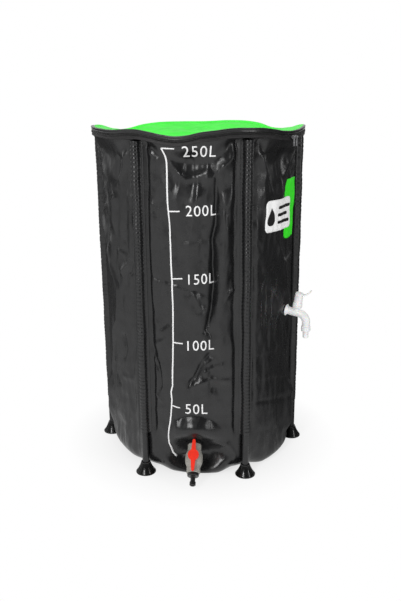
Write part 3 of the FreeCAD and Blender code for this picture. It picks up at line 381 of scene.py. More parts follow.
# Broad folds: azimuth and height of two ends, half width, offset
BROAD_FOLDS = [
    ((-78, 290), (-79, 850), 22, -10),
    ((-112, 960), (-99, 800), 26, 6),
    ((-66, 960), (-86, 820), 26, 7),
    ((-92, 935), (-90, 905), 34, -12),
    ((-129, 140), (-130, 900), 22, -13),
    ((-146, 150), (-149, 860), 24, 7),
    ((-163, 930), (-150, 720), 26, -9),
    ((-53, 950), (-45, 780), 24, 6),
    ((-21, 950), (-37, 800), 24, 6),
    ((-32, 880), (-31, 940), 34, -7),
    ((32, 120), (27, 900), 28, -11),
    ((14, 940), (24, 760), 24, 6),
    ((84, 200), (95, 880), 30, -9),
    ((103, 930), (92, 760), 24, 6),
    ((147, 130), (153, 890), 28, -11),
    ((134, 940), (143, 770), 24, 6),
    ((-166, 75), (-166, 200), 36, 24),
    ((-14, 75), (-14, 200), 36, 24),
    ((166, 75), (166, 200), 36, 10),
    ((14, 75), (14, 200), 36, 10),
]

# Sharp creases: width of the crease's foot, offset before it is deepened, and the line that it follows
CREASE_DEPTH = 1.3
CREASES = [
    # left panel
    (9, 8, [(-168, 983), (-155, 939), (-144.4, 858), (-141.7, 818), (-143, 700)]),
    (8, -8, [(-136.6, 946), (-138, 900), (-139.5, 850)]),
    (7, 6, [(-128.5, 955), (-131.6, 909), (-139.4, 854)]),
    (9, 8, [(-172, 800), (-168, 746), (-160.7, 706), (-150.2, 620), (-142.4, 552), (-142.2, 518),
            (-142.6, 494), (-143.4, 452), (-146.9, 427), (-151, 357), (-157, 271), (-156.6, 234),
            (-150.8, 205)]),
    (6, -9, [(-127.5, 970), (-127.4, 911), (-127, 750), (-127.9, 650), (-128, 534), (-129, 300)]),
    (6, 5, [(-130.4, 645), (-139.9, 597)]),
    (6, 4, [(-141, 668), (-130.3, 647)]),
    (5, -5, [(-129.6, 648), (-131, 600)]),
    (5, -7, [(-139.5, 420), (-137, 370), (-140, 325)]),
    (5, -6, [(-152.4, 308), (-148.3, 270), (-143.6, 235)]),
    (5, 3, [(-142, 277), (-129.6, 281)]),
    # front panel
    (8, 5, [(-119, 976), (-114.3, 957), (-105, 925)]),
    (10, 6, [(-102.5, 940), (-97.1, 904), (-92.4, 884), (-85.5, 892), (-79, 910)]),
    (6, -9, [(-80, 940), (-79, 909), (-76.3, 887), (-76, 828), (-76.4, 757), (-78.3, 719), (-77.9, 676),
             (-78, 641), (-77.2, 601), (-78.4, 553), (-79.2, 520), (-81, 480), (-82.4, 463),
             (-78.5, 440), (-78, 399)]),
    (6, 4, [(-73, 922), (-76.3, 887)]),
    (9, 7, [(-62.5, 962), (-67.6, 940), (-74.4, 909)]),
    (4, -2.5, [(-126, 625), (-119.7, 619), (-110.6, 610), (-103.1, 602), (-92.2, 584), (-78, 556)]),
    (6, 4, [(-62.7, 583), (-68.9, 566), (-72.4, 545)]),
    (4, -6, [(-116.5, 420), (-113.4, 385), (-112.1, 360), (-110.1, 327), (-109.8, 288), (-111.5, 255)]),
    (6, 4, [(-117, 400), (-114.7, 388), (-112.5, 350)]),
    (4, -2.5, [(-103.6, 484), (-109.8, 456)]),
    (5, 3, [(-104.7, 438), (-113.7, 406)]),
    (4, 2.5, [(-89.5, 577), (-86.9, 541), (-84.6, 515)]),
    (9, -9, [(-77.5, 395), (-84.1, 367), (-89.3, 315), (-94.5, 285)]),
    (8, 5, [(-93.8, 287), (-86.6, 300), (-79.8, 308), (-66, 304)]),
    (4, 3, [(-82.5, 358), (-75.5, 374)]),
    (4, 3, [(-80.4, 343), (-72, 356)]),
    (4, 3, [(-84.5, 328), (-78, 345)]),
    (4, 2, [(-118.1, 196), (-107, 222)]),
    (4, 2, [(-115, 266), (-107.5, 232)]),
    (5, 5, [(-84.5, 106), (-76, 107), (-70, 100), (-65.9, 70), (-64.1, 30)]),
    # right panel
    (7, 5, [(-51.5, 950), (-46.3, 893), (-39.9, 820)]),
    (7, 5, [(-11, 950), (-23.8, 909), (-31.5, 866)]),
    (6, 3, [(-35.5, 702), (-26.8, 627)]),
    (6, 3, [(-3, 634), (-26.1, 620), (-41.3, 618), (-52, 611)]),
    (6, 3, [(-26.5, 640), (-22.1, 572), (-20, 530)]),
    (6, 2.5, [(-52, 366), (-33, 372)]),
    (6, 2.5, [(-52, 287), (-37.9, 285), (-3, 232)]),
    (6, 2.5, [(-30, 207), (-16.9, 199), (-4, 191)]),
    (4, -3, [(-57, 219), (-49.7, 218), (-30.9, 193), (-16.4, 177), (-4, 164)]),
    (5, 2.5, [(-47, 470), (-20, 455), (-6, 425)]),
]

# Soft dents and bulges: azimuth, height, half width and half height, offset
DENTS = [
    (-90, 925, 46, 26, -9),
    (-87.8, 496, 26, 26, 4),
    (-75.5, 70, 34, 26, -11),
    (-98.5, 56, 26, 22, -8),
    (-99.5, 320, 26, 60, 4),
    (-150, 560, 40, 90, -4),
    (-33, 540, 60, 110, -4),
    (-20, 300, 50, 90, 3),
    (-108, 740, 34, 120, 3),
    (-97, 700, 40, 130, -4),
    (-36, 915, 50, 40, -6),
]

# Smooth vertical rolls of the front panel: half width, offset, and the line that they follow
ROLLS = [
    (15, 8, [(-70.3, 880), (-72.2, 740), (-73.7, 624), (-74.5, 552), (-75, 478), (-75, 381)]),
    (13, -6, [(-84, 840), (-84.5, 620), (-84, 500)]),
    (13, -5, [(-66.5, 840), (-66.5, 400)]),
    (14, 4, [(-113, 860), (-114, 640), (-113, 500)]),
]

# Share of a line's length over which a crease or a roll runs out, and the rounding of a crease's tip
CREASE_END = 0.18
ROLL_END = 0.12
ROUND_TIP = 1.6

# Creases that end lower than this are on the front panels only
LOW_CREASE = 120

# Random crumples: offset, whether the noise is folded to a ridge, width across and up, and its shift
CRUMPLES = [
    (3.4, False, 50, 190, (0, 0, 0)),
    (1.5, False, 17, 46, (9, 0, 0)),
    (-5.0, True, 30, 150, (40, 0, 11)),
    (2.2, True, 60, 38, (5, 3, 4)),
    (-1.8, True, 15, 34, (70, 0, 21)),
]


def arc(azimuth, middle):
    """Millimetres along the wall from one azimuth to another."""
    return np.radians(turn_between(azimuth, middle)) * WALL_RADIUS


def line_distance(azimuth, height, line):
    """Millimetres from a crease's line on the unrolled wall, and the share of the way along it."""
    first = line[0][0]
    points = np.array([[arc(a, first), h] for a, h in line])
    place = np.stack([arc(azimuth, first), height], -1)
    lengths = np.linalg.norm(np.diff(points, axis=0), axis=1)
    before = np.concatenate([[0], np.cumsum(lengths)])
    nearest = np.full(len(azimuth), np.inf)
    along = np.zeros(len(azimuth))
    for start, end, length, run in zip(points[:-1], points[1:], lengths, before):
        share = np.clip((place - start) @ (end - start) / length ** 2, 0, 1)
        distance = np.linalg.norm(place - start - share[:, None] * (end - start), axis=1)
        closer = distance < nearest
        nearest[closer] = distance[closer]
        along[closer] = (run + share * length)[closer] / before[-1]
    return nearest, along


def mirrored(line):
    """The same line on the back of the tank."""
    return [(-a, h) for a, h in line]


def all_creases():
    """The creases of the three front panels, and their like on the back ones."""
    creases = list(CREASES)
    for width, offset, line in CREASES:
        if all(h > LOW_CREASE for a, h in line):
            creases.append((width, offset, mirrored(line)))
    return creases


def run_out(along, share):
    """Fades a crease at both of its ends."""
    return smooth(along / share) * smooth((1 - along) / share)


def sharp_offset(azimuth, height):
    """How far the creases, rolls and dents move the film outward."""
    total = np.zeros(len(azimuth))
    for width, offset, line in all_creases():
        distance, along = line_distance(azimuth, height, line)
        fall = np.exp(-(np.hypot(distance, ROUND_TIP) - ROUND_TIP) / width)
        total += CREASE_DEPTH * offset * run_out(along, CREASE_END) * fall
    for half_width, offset, line in ROLLS:
        for path in (line, mirrored(line)):
            distance, along = line_distance(azimuth, height, path)
            total += offset * run_out(along, ROLL_END) * np.exp(-(distance / half_width) ** 2)
    for a, h, across, up, offset in DENTS:
        total += offset * np.exp(-(arc(azimuth, a) / across) ** 2 - ((height - h) / up) ** 2)
    return total


def broad_offset(azimuth, height):
    """How far the broad folds move the film outward."""
    total = np.zeros(len(azimuth))
    for first, last, half_width, offset in BROAD_FOLDS:
        distance, along = line_distance(azimuth, height, [first, last])
        total += offset * np.exp(-(distance / half_width) ** 2)
    return total


def crumple(azimuth, height):
    """Fine random creases of a film that was folded for storage, most of them upright."""
    result = np.zeros(len(azimuth))
    for i, (a, h) in enumerate(zip(np.radians(azimuth), height)):
        x, y = math.cos(a) * WALL_RADIUS, math.sin(a) * WALL_RADIUS
        for offset, folded, across, up, (right, back, rise) in CRUMPLES:
            value = noise.noise((x / across + right, y / across + back, h / up + rise))
            result[i] += offset * (abs(value) if folded else value)
    return result


def pole_distance(azimuth):
    """Degrees to the nearest pole."""
    return np.min([abs(turn_between(azimuth, pole)) for pole in POLES.values()], axis=0)


# Degrees from a pole at which each begins, and over which it grows
PANEL_EDGE = (5, 12)
WING_EDGE = (4.4, 2.0)
PULL_EDGE = (3, 13)
FLARE_EDGE = (6, 10)


def panel_share(azimuth):
    """0 at a pole, 1 over a panel's width."""
    return after(pole_distance(azimuth), *PANEL_EDGE)


def rim_radius(azimuth):
    """Radius of the rim: the film pulls it in between the poles."""
    return RIM_RADIUS - RIM_PULL * after(pole_distance(azimuth), *PULL_EDGE)


# Radius of the corner between base and wall: at a pole, and on the slack and the tight side of the bag
CORNER_AT_POLE = 64
CORNER_SLACK = 57
CORNER_TIGHT = 28
TIGHT_SIDE = -20


def corner_radius(azimuth):
    tight = smooth((1 + np.cos(np.radians(azimuth - TIGHT_SIDE))) / 2)
    panel = CORNER_SLACK + (CORNER_TIGHT - CORNER_SLACK) * tight
    return CORNER_AT_POLE + (panel - CORNER_AT_POLE) * panel_share(azimuth)


# Flat seats of the two fittings: azimuth, height, reach, droop, radius of the flat, radius of the dent
SEATS = [(-90, 102, 266, 39, 34, 100), (-22.5, 472, 287, 8, 26, 80)]


def seat_blend(azimuth, height, radius):
    """Pulls the film flat onto the seat of each fitting, tilted with its droop."""
    for centre, level, reach, droop, flat, dent in SEATS:
        turn = np.radians(turn_between(azimuth, centre))
        rise = height - level
        weight = 1 - smooth((np.hypot(turn * reach, rise) - flat) / (dent - flat))
        seat = (reach + rise * math.tan(math.radians(droop))) / np.cos(np.clip(turn, -1, 1))
        radius = radius + (seat - radius) * weight
    return radius


def hem_height(azimuth):
    """Height at which the bag's film ends."""
    return rim_top(azimuth) - HEM_DROP


def wall_profile(azimuth, along):
    """The wall before its folds: radius and height, and how far the film has turned up from the floor."""
    corner = corner_radius(azimuth)
    start = WALL_RADIUS - corner
    turn = np.radians(90) * np.clip(along + 1, 0, 1)
    radius = start + corner * np.sin(turn)
    height = corner * (1 - np.cos(turn))
    flat = along < -1
    radius[flat] = (BASE_RADIUS + (start - BASE_RADIUS) * (along + 2))[flat]
    height[flat] = 0
    up = along > 0
    height[up] = (corner + (hem_height(azimuth) - corner) * along)[up]
    return radius, height, turn


# How far the panels lie inside the wall's radius, and the groove beside a sleeve: depth, place and width
PANEL_DROP = 4
GROOVE_DEPTH = 9
GROOVE_PLACE = 5.3
GROOVE_WIDTH = 1.5

# Heights over which folds fade: below the hem and above the corner, and from one height above the floor on
BROAD_BELOW_HEM = 50
BROAD_ABOVE_CORNER = 70
FINE_BELOW_HEM = 18
FINE_ABOVE_FLOOR = (6, 60)
GROOVE_ABOVE_FLOOR = (110, 60)


def fold_offset(azimuth, height):
    """How far all folds move the film outward. They fade at the base, at the hem and under the sleeves."""
    gap = pole_distance(azimuth)
    below_hem = hem_height(azimuth) - height
    low_fade = smooth((height - corner_radius(azimuth)) / BROAD_ABOVE_CORNER)
    share = panel_share(azimuth) * low_fade * smooth(below_hem / BROAD_BELOW_HEM)
    offset = share * (broad_offset(azimuth, height) - PANEL_DROP)
    high_fade = smooth(below_hem / FINE_BELOW_HEM)
    fine = sharp_offset(azimuth, height) + crumple(azimuth, height)
    offset += after(gap, *WING_EDGE) * high_fade * after(height, *FINE_ABOVE_FLOOR) * fine
    groove = -GROOVE_DEPTH * np.exp(-((gap - GROOVE_PLACE) / GROOVE_WIDTH) ** 2)
    return offset + groove * after(height, *GROOVE_ABOVE_FLOOR) * high_fade


# How far inside the rim the hem lies, and the least lean that a fold is given on the corner, in radians
HEM_INSET = 0.6
LEAST_LEAN = 0.35

# Height over which the film leads out to the hem at a pole, and what is added to it between the poles
FLARE_HEIGHT = 24
FLARE_MORE = 52

# Fittings' seats begin this far along the film, just off the floor
SEATS_FROM = -0.9


def flare_out(azimuth, height, radius):
    """Leads the top of the film out to the hem under the rim, over a greater length between the poles."""
    length = FLARE_HEIGHT + FLARE_MORE * after(pole_distance(azimuth), *FLARE_EDGE)
    flare = smooth((height - hem_height(azimuth) + length) / length)
    return radius + (rim_radius(azimuth) - HEM_INSET - radius) * flare ** 2


def wall_places(azimuth, along):
    """Places on the wall. Along is -2 to -1 over the base, up to 0 over the corner and 1 at the hem."""
    radius, height, turn = wall_profile(azimuth, along)
    offset = fold_offset(azimuth, height)
    lean = np.clip(turn, LEAST_LEAN, math.pi / 2)
    radius = radius + offset * np.sin(lean)
    height = height - np.minimum(offset, 0) * np.cos(lean) * (along >= -1)
    radius = np.where(along > SEATS_FROM, seat_blend(azimuth, height, radius), radius)
    radius = np.where(along > 0, flare_out(azimuth, height, radius), radius)
    return polar(radius, azimuth, np.maximum(height, 0))


# A vertex on the first seam can read as almost a full turn, by rounding
ALMOST_ROUND = 350


def make_film(name, first, columns, along, replaced):
    """Half of the film wall: a line turned half round, then moved into its folds.

    Its seams lie under two sleeves. The outer side is given too, as a tree that the print is laid on.
    """
    shape = bmesh.new()
    geometry = chain(shape, [(1, 0, value) for value in along])
    bmesh.ops.spin(shape, geom=geometry, cent=(0, 0, 0), axis=(0, 0, 1), angle=math.pi, steps=columns)
    bmesh.ops.remove_doubles(shape, verts=shape.verts, dist=WELD)
    places = read_places(shape)
    turned = azimuths(places) % 360
    azimuth = first + np.where(turned > ALMOST_ROUND, 0, turned)
    write_places(shape, wall_places(azimuth, places[:, 2]))
    outward(shape)
    turn_towards(shape, lambda face: face.normal.dot(face.calc_center_median()))
    lay_out(shape, lambda place: (arc(math.degrees(math.atan2(place.y, place.x)), first + 90) * MM, place.z))
    tree = BVHTree.FromBMesh(shape)
    thicken(shape, FILM * MM)
    piece = make_piece(name, shape, FILM_BLACK, replaced=replaced)
    return piece, tree


def film_rows(corner_rows, wall_rows):
    """Rows of the mesh along the film: two over the base, then over the corner and up the wall."""
    return [-2, -1.5] + list(np.linspace(-1, 0, corner_rows)) + list(np.linspace(0, 1, wall_rows)[1:])


FRONT_NODES = ["bag_wall_front", "bag_wall_left"]
BACK_NODES = ["bag_wall_back", "bag_wall_left"]
FRONT_FILM, FRONT_FACE = make_film("bag_film_front", -180, 264, film_rows(15, 168), FRONT_NODES)
BACK_FILM = make_film("bag_film_back", 0, 132, film_rows(9, 96), BACK_NODES)[0]


# Rim: skirt, zip and lid

# Steps of the rim round the tank, how far it ripples outward and up, and the ripples' noise
RIM_STEPS = 360
RIPPLE_OUT = 0.8
RIPPLE_UP = 0.7 * RIPPLE_OUT
RIPPLE_TURNS = 14
RIPPLE_HEIGHT = 25
LIFT_TURNS = 9
LIFT_PLACE = 5


def ring_piece(name, section, material, replaced):
    """Closed section of (radius, height from the rim's top) turned round and laid on the rim's line."""
    shape = bmesh.new()
    points = [(radius, 0, height) for radius, height in section]
    parts = chain(shape, points)
    parts.append(shape.edges.new((parts[len(points) - 1], parts[0])))
    turn_full(shape, parts, RIM_STEPS)
    places = read_places(shape)
    azimuth = azimuths(places)
    height = places[:, 2]
    wander = round_noise(azimuth, RIPPLE_TURNS, height / RIPPLE_HEIGHT)
    lift = round_noise(azimuth, LIFT_TURNS, np.full(len(azimuth), LIFT_PLACE))
    radius = np.hypot(places[:, 0], places[:, 1]) + rim_radius(azimuth) - RIM_RADIUS + RIPPLE_OUT * wander
    write_places(shape, polar(radius, azimuth, rim_top(azimuth) + height + RIPPLE_UP * lift))
    outward(shape)
    return make_piece(name, shape, material, replaced=replaced)


def round_noise(azimuth, turns, level):
    """Noise round the tank, at a level for each place."""
    return np.array([noise.noise((math.cos(a) * turns, math.sin(a) * turns, z))
                     for a, z in zip(np.radians(azimuth), level)])


def make_rim():
    """Skirt of the lid with a piped top edge, two zip tapes and the coil between them."""
    r = RIM_RADIUS
    skirt = [
        (r - 5, -2.2), (r - 5, -0.9), (r - 3, -0.2), (r - 0.5, 0.4), (r + 1.5, 0.3), (r + 2.6, -0.9),
        (r + 2.8, -2.4), (r + 2.2, -3.8), (r + 1.5, -4.8), (r + 1.5, -7), (r + 1.9, -9.5), (r + 1.5, -10.6),
        (r + 0.3, -10.6), (r, -7), (r, -3),
    ]
    skirt_piece = ring_piece("lid_skirt_film", skirt, FILM_BLACK, ["lid_skirt"])
    upper = [(r + 0.2, -10.9), (r + 1.1, -10.9), (r + 1.2, -13), (r + 0.9, -15), (r + 0.1, -15)]
    upper_piece = ring_piece("zip_tape_top", upper, TAPE, ["zip_tape_upper"])
    lower = [
        (r, -15.3), (r + 1.0, -15.3), (r + 1.3, -17.5), (r + 0.7, -19.5), (r + 1.5, -21), (r + 1.7, -23),
        (r + 1.2, -BAND_HEIGHT), (r - 0.8, -BAND_HEIGHT - 0.4), (r - 1, -20),
    ]
    lower_piece = ring_piece("zip_tape_bottom", lower, TAPE, ["zip_tape_lower"])
    make_coil()
    return skirt_piece, upper_piece, lower_piece


# Teeth of the zip on each side: number, size outward, along and up, lean, and place from the rim
TEETH = 620
TOOTH = (1.6, 1.5, 2.2)
TOOTH_LEAN = 18
TOOTH_OUT = 1.7
TOOTH_DROP = 15.1


def make_coil():
    """Nylon zip coil: a small tooth repeated on both sides of the middle line."""
    shape = bmesh.new()
    for side in (-1, 1):
        for step in range(TEETH):
            azimuth = (step + 0.25 * side) * 360 / TEETH
            made = bmesh.ops.create_cube(shape, size=1)["verts"]
            bmesh.ops.scale(shape, verts=made, vec=[length * MM for length in TOOTH])
            for angle, axis in ((TOOTH_LEAN * side, "X"), (azimuth, "Z")):
                bmesh.ops.rotate(shape, verts=made, matrix=Matrix.Rotation(math.radians(angle), 3, axis))
            around = np.array([turn_between(azimuth, 0)])
            place = polar(rim_radius(around) + TOOTH_OUT, around, rim_top(around) - TOOTH_DROP + side)
            bmesh.ops.translate(shape, verts=made, vec=place[0])
    make_piece("zip_teeth", shape, COIL, replaced=["zip_coil"])


# How far the lid's edge stands inside the rim and below the top of its piping
LID_TUCK = 3.6
LID_DROP = 2.4

# How much further out and up the edge lies at the back
LID_TURN_OUT = 4.9
LID_TURN_UP = 3.7

# Height of the lid's middle before it sags, the sag, and the height of its ripples
LID_MIDDLE = 988
LID_SAG = 16
LID_RIPPLE = 8

# Shares of the way to the lid's edge: its rise, the calming of its ripples, and the turn of its edge
LID_RISE = (0.2, 0.8)
LID_CALM = 0.3
LID_EDGE = (0.965, 0.015)

# Rings of mesh in the lid: from one share to another, and their number
LID_RINGS = [(0.02, 0.9, 46), (0.9, 1, 14)]
LID_STEPS = 240


def lid_places(azimuth, share):
    """The lid's sheet sags in soft ripples. Its edge lies under the piping in front and over it behind."""
    over = after(np.sin(np.radians(azimuth)), -0.3, 0.5)
    radius = (rim_radius(azimuth) - LID_TUCK + over * LID_TURN_OUT) * share
    ripple = np.array([
        noise.noise((s * 3.2 * math.cos(a), s * 3.2 * math.sin(a), 2))
        - abs(noise.noise((s * 5 * math.cos(a) + 7, s * 5 * math.sin(a), 8)))
        for a, s in zip(np.radians(azimuth), share)
    ])
    height = LID_MIDDLE + (rim_top(azimuth) - LID_MIDDLE) * after(share, *LID_RISE)
    height += LID_RIPPLE * ripple * smooth((1 - share) / LID_CALM) - LID_SAG * (1 - share ** 2)
    lift = over * after(share, *LID_EDGE)
    return polar(radius, azimuth, height - LID_DROP + LID_TURN_UP * lift)


def make_lid():
    """Green film sheet of the lid, welded to the skirt at its edge."""
    inner, outer = (list(np.linspace(*rings)) for rings in LID_RINGS)
    shape = bmesh.new()
    turn_full(shape, chain(shape, [(1, 0, share) for share in inner + outer[1:]]), LID_STEPS)
    places = read_places(shape)
    write_places(shape, lid_places(azimuths(places), places[:, 2]))
    hole = [edge for edge in shape.edges if edge.is_boundary and edge.verts[0].co.xy.length < 0.05]
    bmesh.ops.holes_fill(shape, edges=hole)
    centre = [face for face in shape.faces if len(face.verts) > 4]
    bmesh.ops.poke(shape, faces=centre)
    outward(shape)
    turn_towards(shape, lambda face: face.normal.z)
    lay_out(shape, lambda place: place.xy)
    thicken(shape, LID_FILM * MM)
    return make_piece("lid_film", shape, FILM_GREEN, replaced=["lid_panel"])


SKIRT, UPPER_TAPE, LOWER_TAPE = make_rim()
LID = make_lid()


# Sleeves

# Lower end of a sleeve, and its drop below the band
SLEEVE_LOW = 131
SLEEVE_DROP = 5

# Radius of a sleeve over its pole, and one wing of its section: outward from the pole's axis, and sideways
SLEEVE_RADIUS = 11.5
WING = [(-10.6, -18.5), (-10.2, -17), (-9.9, -15.6), (-9.2, -14.2), (-7.4, -12.8), (-4.8, -12)]

# Height and depth of one pucker of the welded strip, its slope, and its drift up and down
PUCKER_PITCH = 11
PUCKER_DEPTH = 1.5
PUCKER_SLOPE = 0.12
PUCKER_DRIFT = 5

# Height of the broader waves, where a wing begins and how soon it is flat, and the fade at a sleeve's ends
WAVE_HEIGHT = 1.4
WING_START = (12.5, 3)
END_FADE = 6

# Rows of mesh in a sleeve at the front and behind
FRONT_ROWS = 430
BACK_ROWS = 200


def sleeve_section():
    """Outline of a sleeve across the pole, from one wing to the other."""
    bend = [(SLEEVE_RADIUS * math.cos(a), SLEEVE_RADIUS * math.sin(a)) for a in np.linspace(-1.75, 1.75, 15)]
    return WING + bend[1:-1] + [(x, -y) for x, y in reversed(WING)]


def puckers(places, seed):
    """Outward offset of a sleeve's film: the ladder that the weld leaves, and broader waves."""
    offset = np.empty(len(places))
    for i, (out, side, height) in enumerate(places):
        drift = noise.noise((seed, 0, height / 60)) * PUCKER_DRIFT
        rung = math.sin(2 * math.pi * (height + drift + side * PUCKER_SLOPE) / PUCKER_PITCH)
        strength = 0.45 + 0.8 * max(0, noise.noise((seed + 3, side / 9, height / 45)) + 0.35)
        broad = noise.noise((seed + 8, side / 16, height / 70))
        offset[i] = -PUCKER_DEPTH * max(0, rung) ** 2 * strength + WAVE_HEIGHT * broad
    return offset


def make_sleeve(place, azimuth, seed):
    """Film strip over a pole: welded wings, and the ladder of puckers that the weld leaves."""
    shape = bmesh.new()
    low, high = SLEEVE_LOW, float(rim_top(np.array([azimuth]))[0]) - BAND_HEIGHT - SLEEVE_DROP
    rows = FRONT_ROWS if azimuth < 0 else BACK_ROWS
    line = chain(shape, [(x, y, low) for x, y in sleeve_section()])
    bmesh.ops.spin(shape, geom=line, cent=(0, 0, 0), axis=(0, 0, 1), dvec=(0, 0, (high - low) / rows),
                   angle=0, steps=rows)
    bmesh.ops.remove_doubles(shape, verts=shape.verts, dist=1e-4)
    places = read_places(shape)
    out, side, height = places.T
    angle = np.arctan2(side, out + 3)
    pucker = puckers(places, seed)
    wing = after(abs(side), *WING_START)
    taper = smooth((height - low) / END_FADE) * smooth((high - height) / END_FADE)
    push = pucker * (1 - wing) * taper + wing * 0.7 * np.abs(pucker)
    out = out + push * np.cos(angle)
    side = side + push * np.sin(angle) * (1 - wing)
    out = out - wing * (POLE_RING - np.sqrt(POLE_RING ** 2 - side ** 2)) * 0.8
    write_places(shape, np.stack([out, side, height], -1) * MM)
    outward(shape)
    lay_out(shape, lambda place: (place.y, place.z))
    turn_towards(shape, lambda face: face.normal.x if abs(face.calc_center_median().y) < 2 * MM else 0)
    thicken(shape, SLEEVE_FILM * MM)
    bmesh.ops.translate(shape, verts=shape.verts, vec=(POLE_RING * MM, 0, 0))
    bmesh.ops.rotate(shape, verts=shape.verts, matrix=Matrix.Rotation(math.radians(azimuth), 3, "Z"))
    piece = make_piece(f"sleeve_film_{place}", shape, FILM_BLACK, replaced=[f"sleeve_{place}"])


# Step of the puckers' noise from one sleeve to the next
SEED_STEP = 5.3

for number, (place, azimuth) in enumerate(POLES.items()):
    make_sleeve(place, azimuth, number * SEED_STEP)


# Print on the wall

# Thickness of the ink, and how far out of the film the volume scale's and the badge's outer faces lie
INK = 0.4
SCALE_LIFT = 0.8
BADGE_LIFTS = (0.7, 1.2, 1.7)

# Outside of the wall, in metres from the axis, where the rays that find the film start
RAY_START = 0.35
DEGREES_PER_MM = math.degrees(1 / WALL_RADIUS)


def onto_wall(shape, lift):
    """Lays a flat shape, x in degrees round the tank and y in millimetres up, onto the front film."""
    for vertex in shape.verts:
        turn = math.radians(vertex.co.x)
        out = Vector((math.cos(turn), math.sin(turn), 0))
        start = Vector((0, 0, vertex.co.y * MM)) + out * RAY_START
        found, normal = FRONT_FACE.ray_cast(start, -out)[:2]
        vertex.co = found + normal * lift * MM
    outward(shape)
    for face in shape.faces:
        centre = face.calc_center_median()
        if face.normal.dot(Vector((centre.x, centre.y, 0))) < 0:
            face.normal_flip()
    bmesh.ops.solidify(shape, geom=list(shape.faces), thickness=INK * MM)


def cut_grid(shape, step_x, step_y):
    """Cuts a flat shape along a grid, so that it can follow the folds."""
    xs = [vertex.co.x for vertex in shape.verts]
    ys = [vertex.co.y for vertex in shape.verts]
    for values, step, axis in ((xs, step_x, Vector((1, 0, 0))), (ys, step_y, Vector((0, 1, 0)))):
        for place in np.arange(min(values) + step, max(values), step):
            geometry = shape.verts[:] + shape.edges[:] + shape.faces[:]
            bmesh.ops.bisect_plane(shape, geom=geometry, plane_co=axis * place, plane_no=axis)


def flat_strip(shape, line, width):
    """Strip of even width along a line of (degrees, millimetres)."""
    points = [Vector((a / DEGREES_PER_MM, h, 0)) for a, h in line]
    sides = []
    for i, point in enumerate(points):
        run = (points[min(i + 1, len(points) - 1)] - points[max(i - 1, 0)]).normalized()
        across = Vector((-run.y, run.x, 0)) * width / 2
        edge = (point - across, point + across)
        sides.append([shape.verts.new((p.x * DEGREES_PER_MM, p.y, 0)) for p in edge])
    for (a, b), (c, d) in zip(sides, sides[1:]):
        shape.faces.new((a, b, d, c))


# Volume scale: azimuth and height of its line and ticks, and their widths
GAUGE_LINE = [
    (-104.4, 964), (-103.3, 945), (-102.8, 925), (-102.6, 828), (-102.2, 730), (-101.8, 636),
    (-101.4, 550), (-101.5, 424), (-102.1, 320), (-102.3, 292), (-103.3, 272), (-103.0, 247),
    (-103.8, 200), (-105.0, 150), (-105.6, 103), (-104.1, 68), (-102.1, 54),
]
GAUGE_WIDTH = 4.2
TICK_WIDTH = 3.6
TICKS = [[(-104.4, 964), (-97.7, 963)], [(-102.4, 797), (-96.2, 798)], [(-101.6, 609), (-95.5, 611)],
         [(-101.4, 424), (-95.9, 422)], [(-103.0, 228), (-98.3, 222)]]

# Each numeral's text, its left and right azimuth, and its lower and upper height
NUMERALS = [
    ("250L", -94.0, -76.8, 940, 970),
    ("200L", -93.0, -76.1, 784, 813),
    ("150L", -92.2, -77.3, 595, 624),
    ("100L", -93.3, -77.7, 401, 431),
    ("50L", -95.0, -82.1, 205, 236),
]


# Millimetres on the wall in a degree, near enough to space points
MM_IN_DEGREE = 5


def dense_line(line, step):
    """More points along a line, about a step apart, so that a strip on it follows the wall."""
    dense = [line[0]]
    for (a, h), (c, k) in zip(line, line[1:]):
        count = max(1, round(math.hypot((c - a) * MM_IN_DEGREE, k - h) / step))
        dense += [(a + (c - a) * i / count, h + (k - h) * i / count) for i in range(1, count + 1)]
    return dense


def make_gauge():
    """Volume scale: a line down the front, five ticks and their numerals."""
    shape = bmesh.new()
    flat_strip(shape, dense_line(GAUGE_LINE, 6), GAUGE_WIDTH)
    for tick in TICKS:
        flat_strip(shape, dense_line(tick, 3), TICK_WIDTH)
    onto_wall(shape, SCALE_LIFT)
    make_piece("gauge_line", shape, WHITE_INK)
    for text, left, right, low, high in NUMERALS:
        make_numeral(text, left, right, low, high)


def stretch(values, low, high):
    """Values moved and stretched to fill a range."""
    least, most = min(values), max(values)
    return [low + (high - low) * (value - least) / (most - least) for value in values]


def make_numeral(text, left, right, low, high):
    """Numeral of the built-in typeface, fitted to its box on the wall."""
    curve = bpy.data.curves.new(f"text_{text}", "FONT")
    curve.body = text
    curve.resolution_u = 6
    curve.space_character = 1.12
    writer = bpy.data.objects.new(f"writer_{text}", curve)
    place_in_scene(writer)
    bpy.context.view_layer.update()
    mesh = bpy.data.meshes.new_from_object(writer)
    bpy.data.objects.remove(writer)
    shape = bmesh.new()
    shape.from_mesh(mesh)
    xs = stretch([vertex.co.x for vertex in shape.verts], left, right)
    ys = stretch([vertex.co.y for vertex in shape.verts], low, high)
    write_places(shape, [(x, y, 0) for x, y in zip(xs, ys)])
    bmesh.ops.remove_doubles(shape, verts=shape.verts, dist=1e-5)
    cut_grid(shape, 0.7, 4)
    onto_wall(shape, SCALE_LIFT)
    make_piece(f"numeral_{text}", shape, WHITE_INK)


# Plain badge on the right front panel: a green panel, a white one over it, and dark marks on that

# Each one's centre in degrees and millimetres, and its size, with the radius of the panels' corners
BADGE_GREEN = ((-16, 775), (106, 172), 22)
BADGE_WHITE = ((-32.5, 767), (138, 90), 14)
BADGE_DROP = ((-41.5, 766), 19)
BADGE_BARS = [((-27.5, 788), (78, 9)), ((-29.5, 767), (58, 9)), ((-28.5, 746), (68, 9))]


def flat_shape(shape, centre, outline):
    """Flat face from an outline in millimetres round a centre in degrees and millimetres."""
    azimuth, height = centre
    shape.faces.new([shape.verts.new((azimuth + x * DEGREES_PER_MM, height + y, 0)) for x, y in outline])


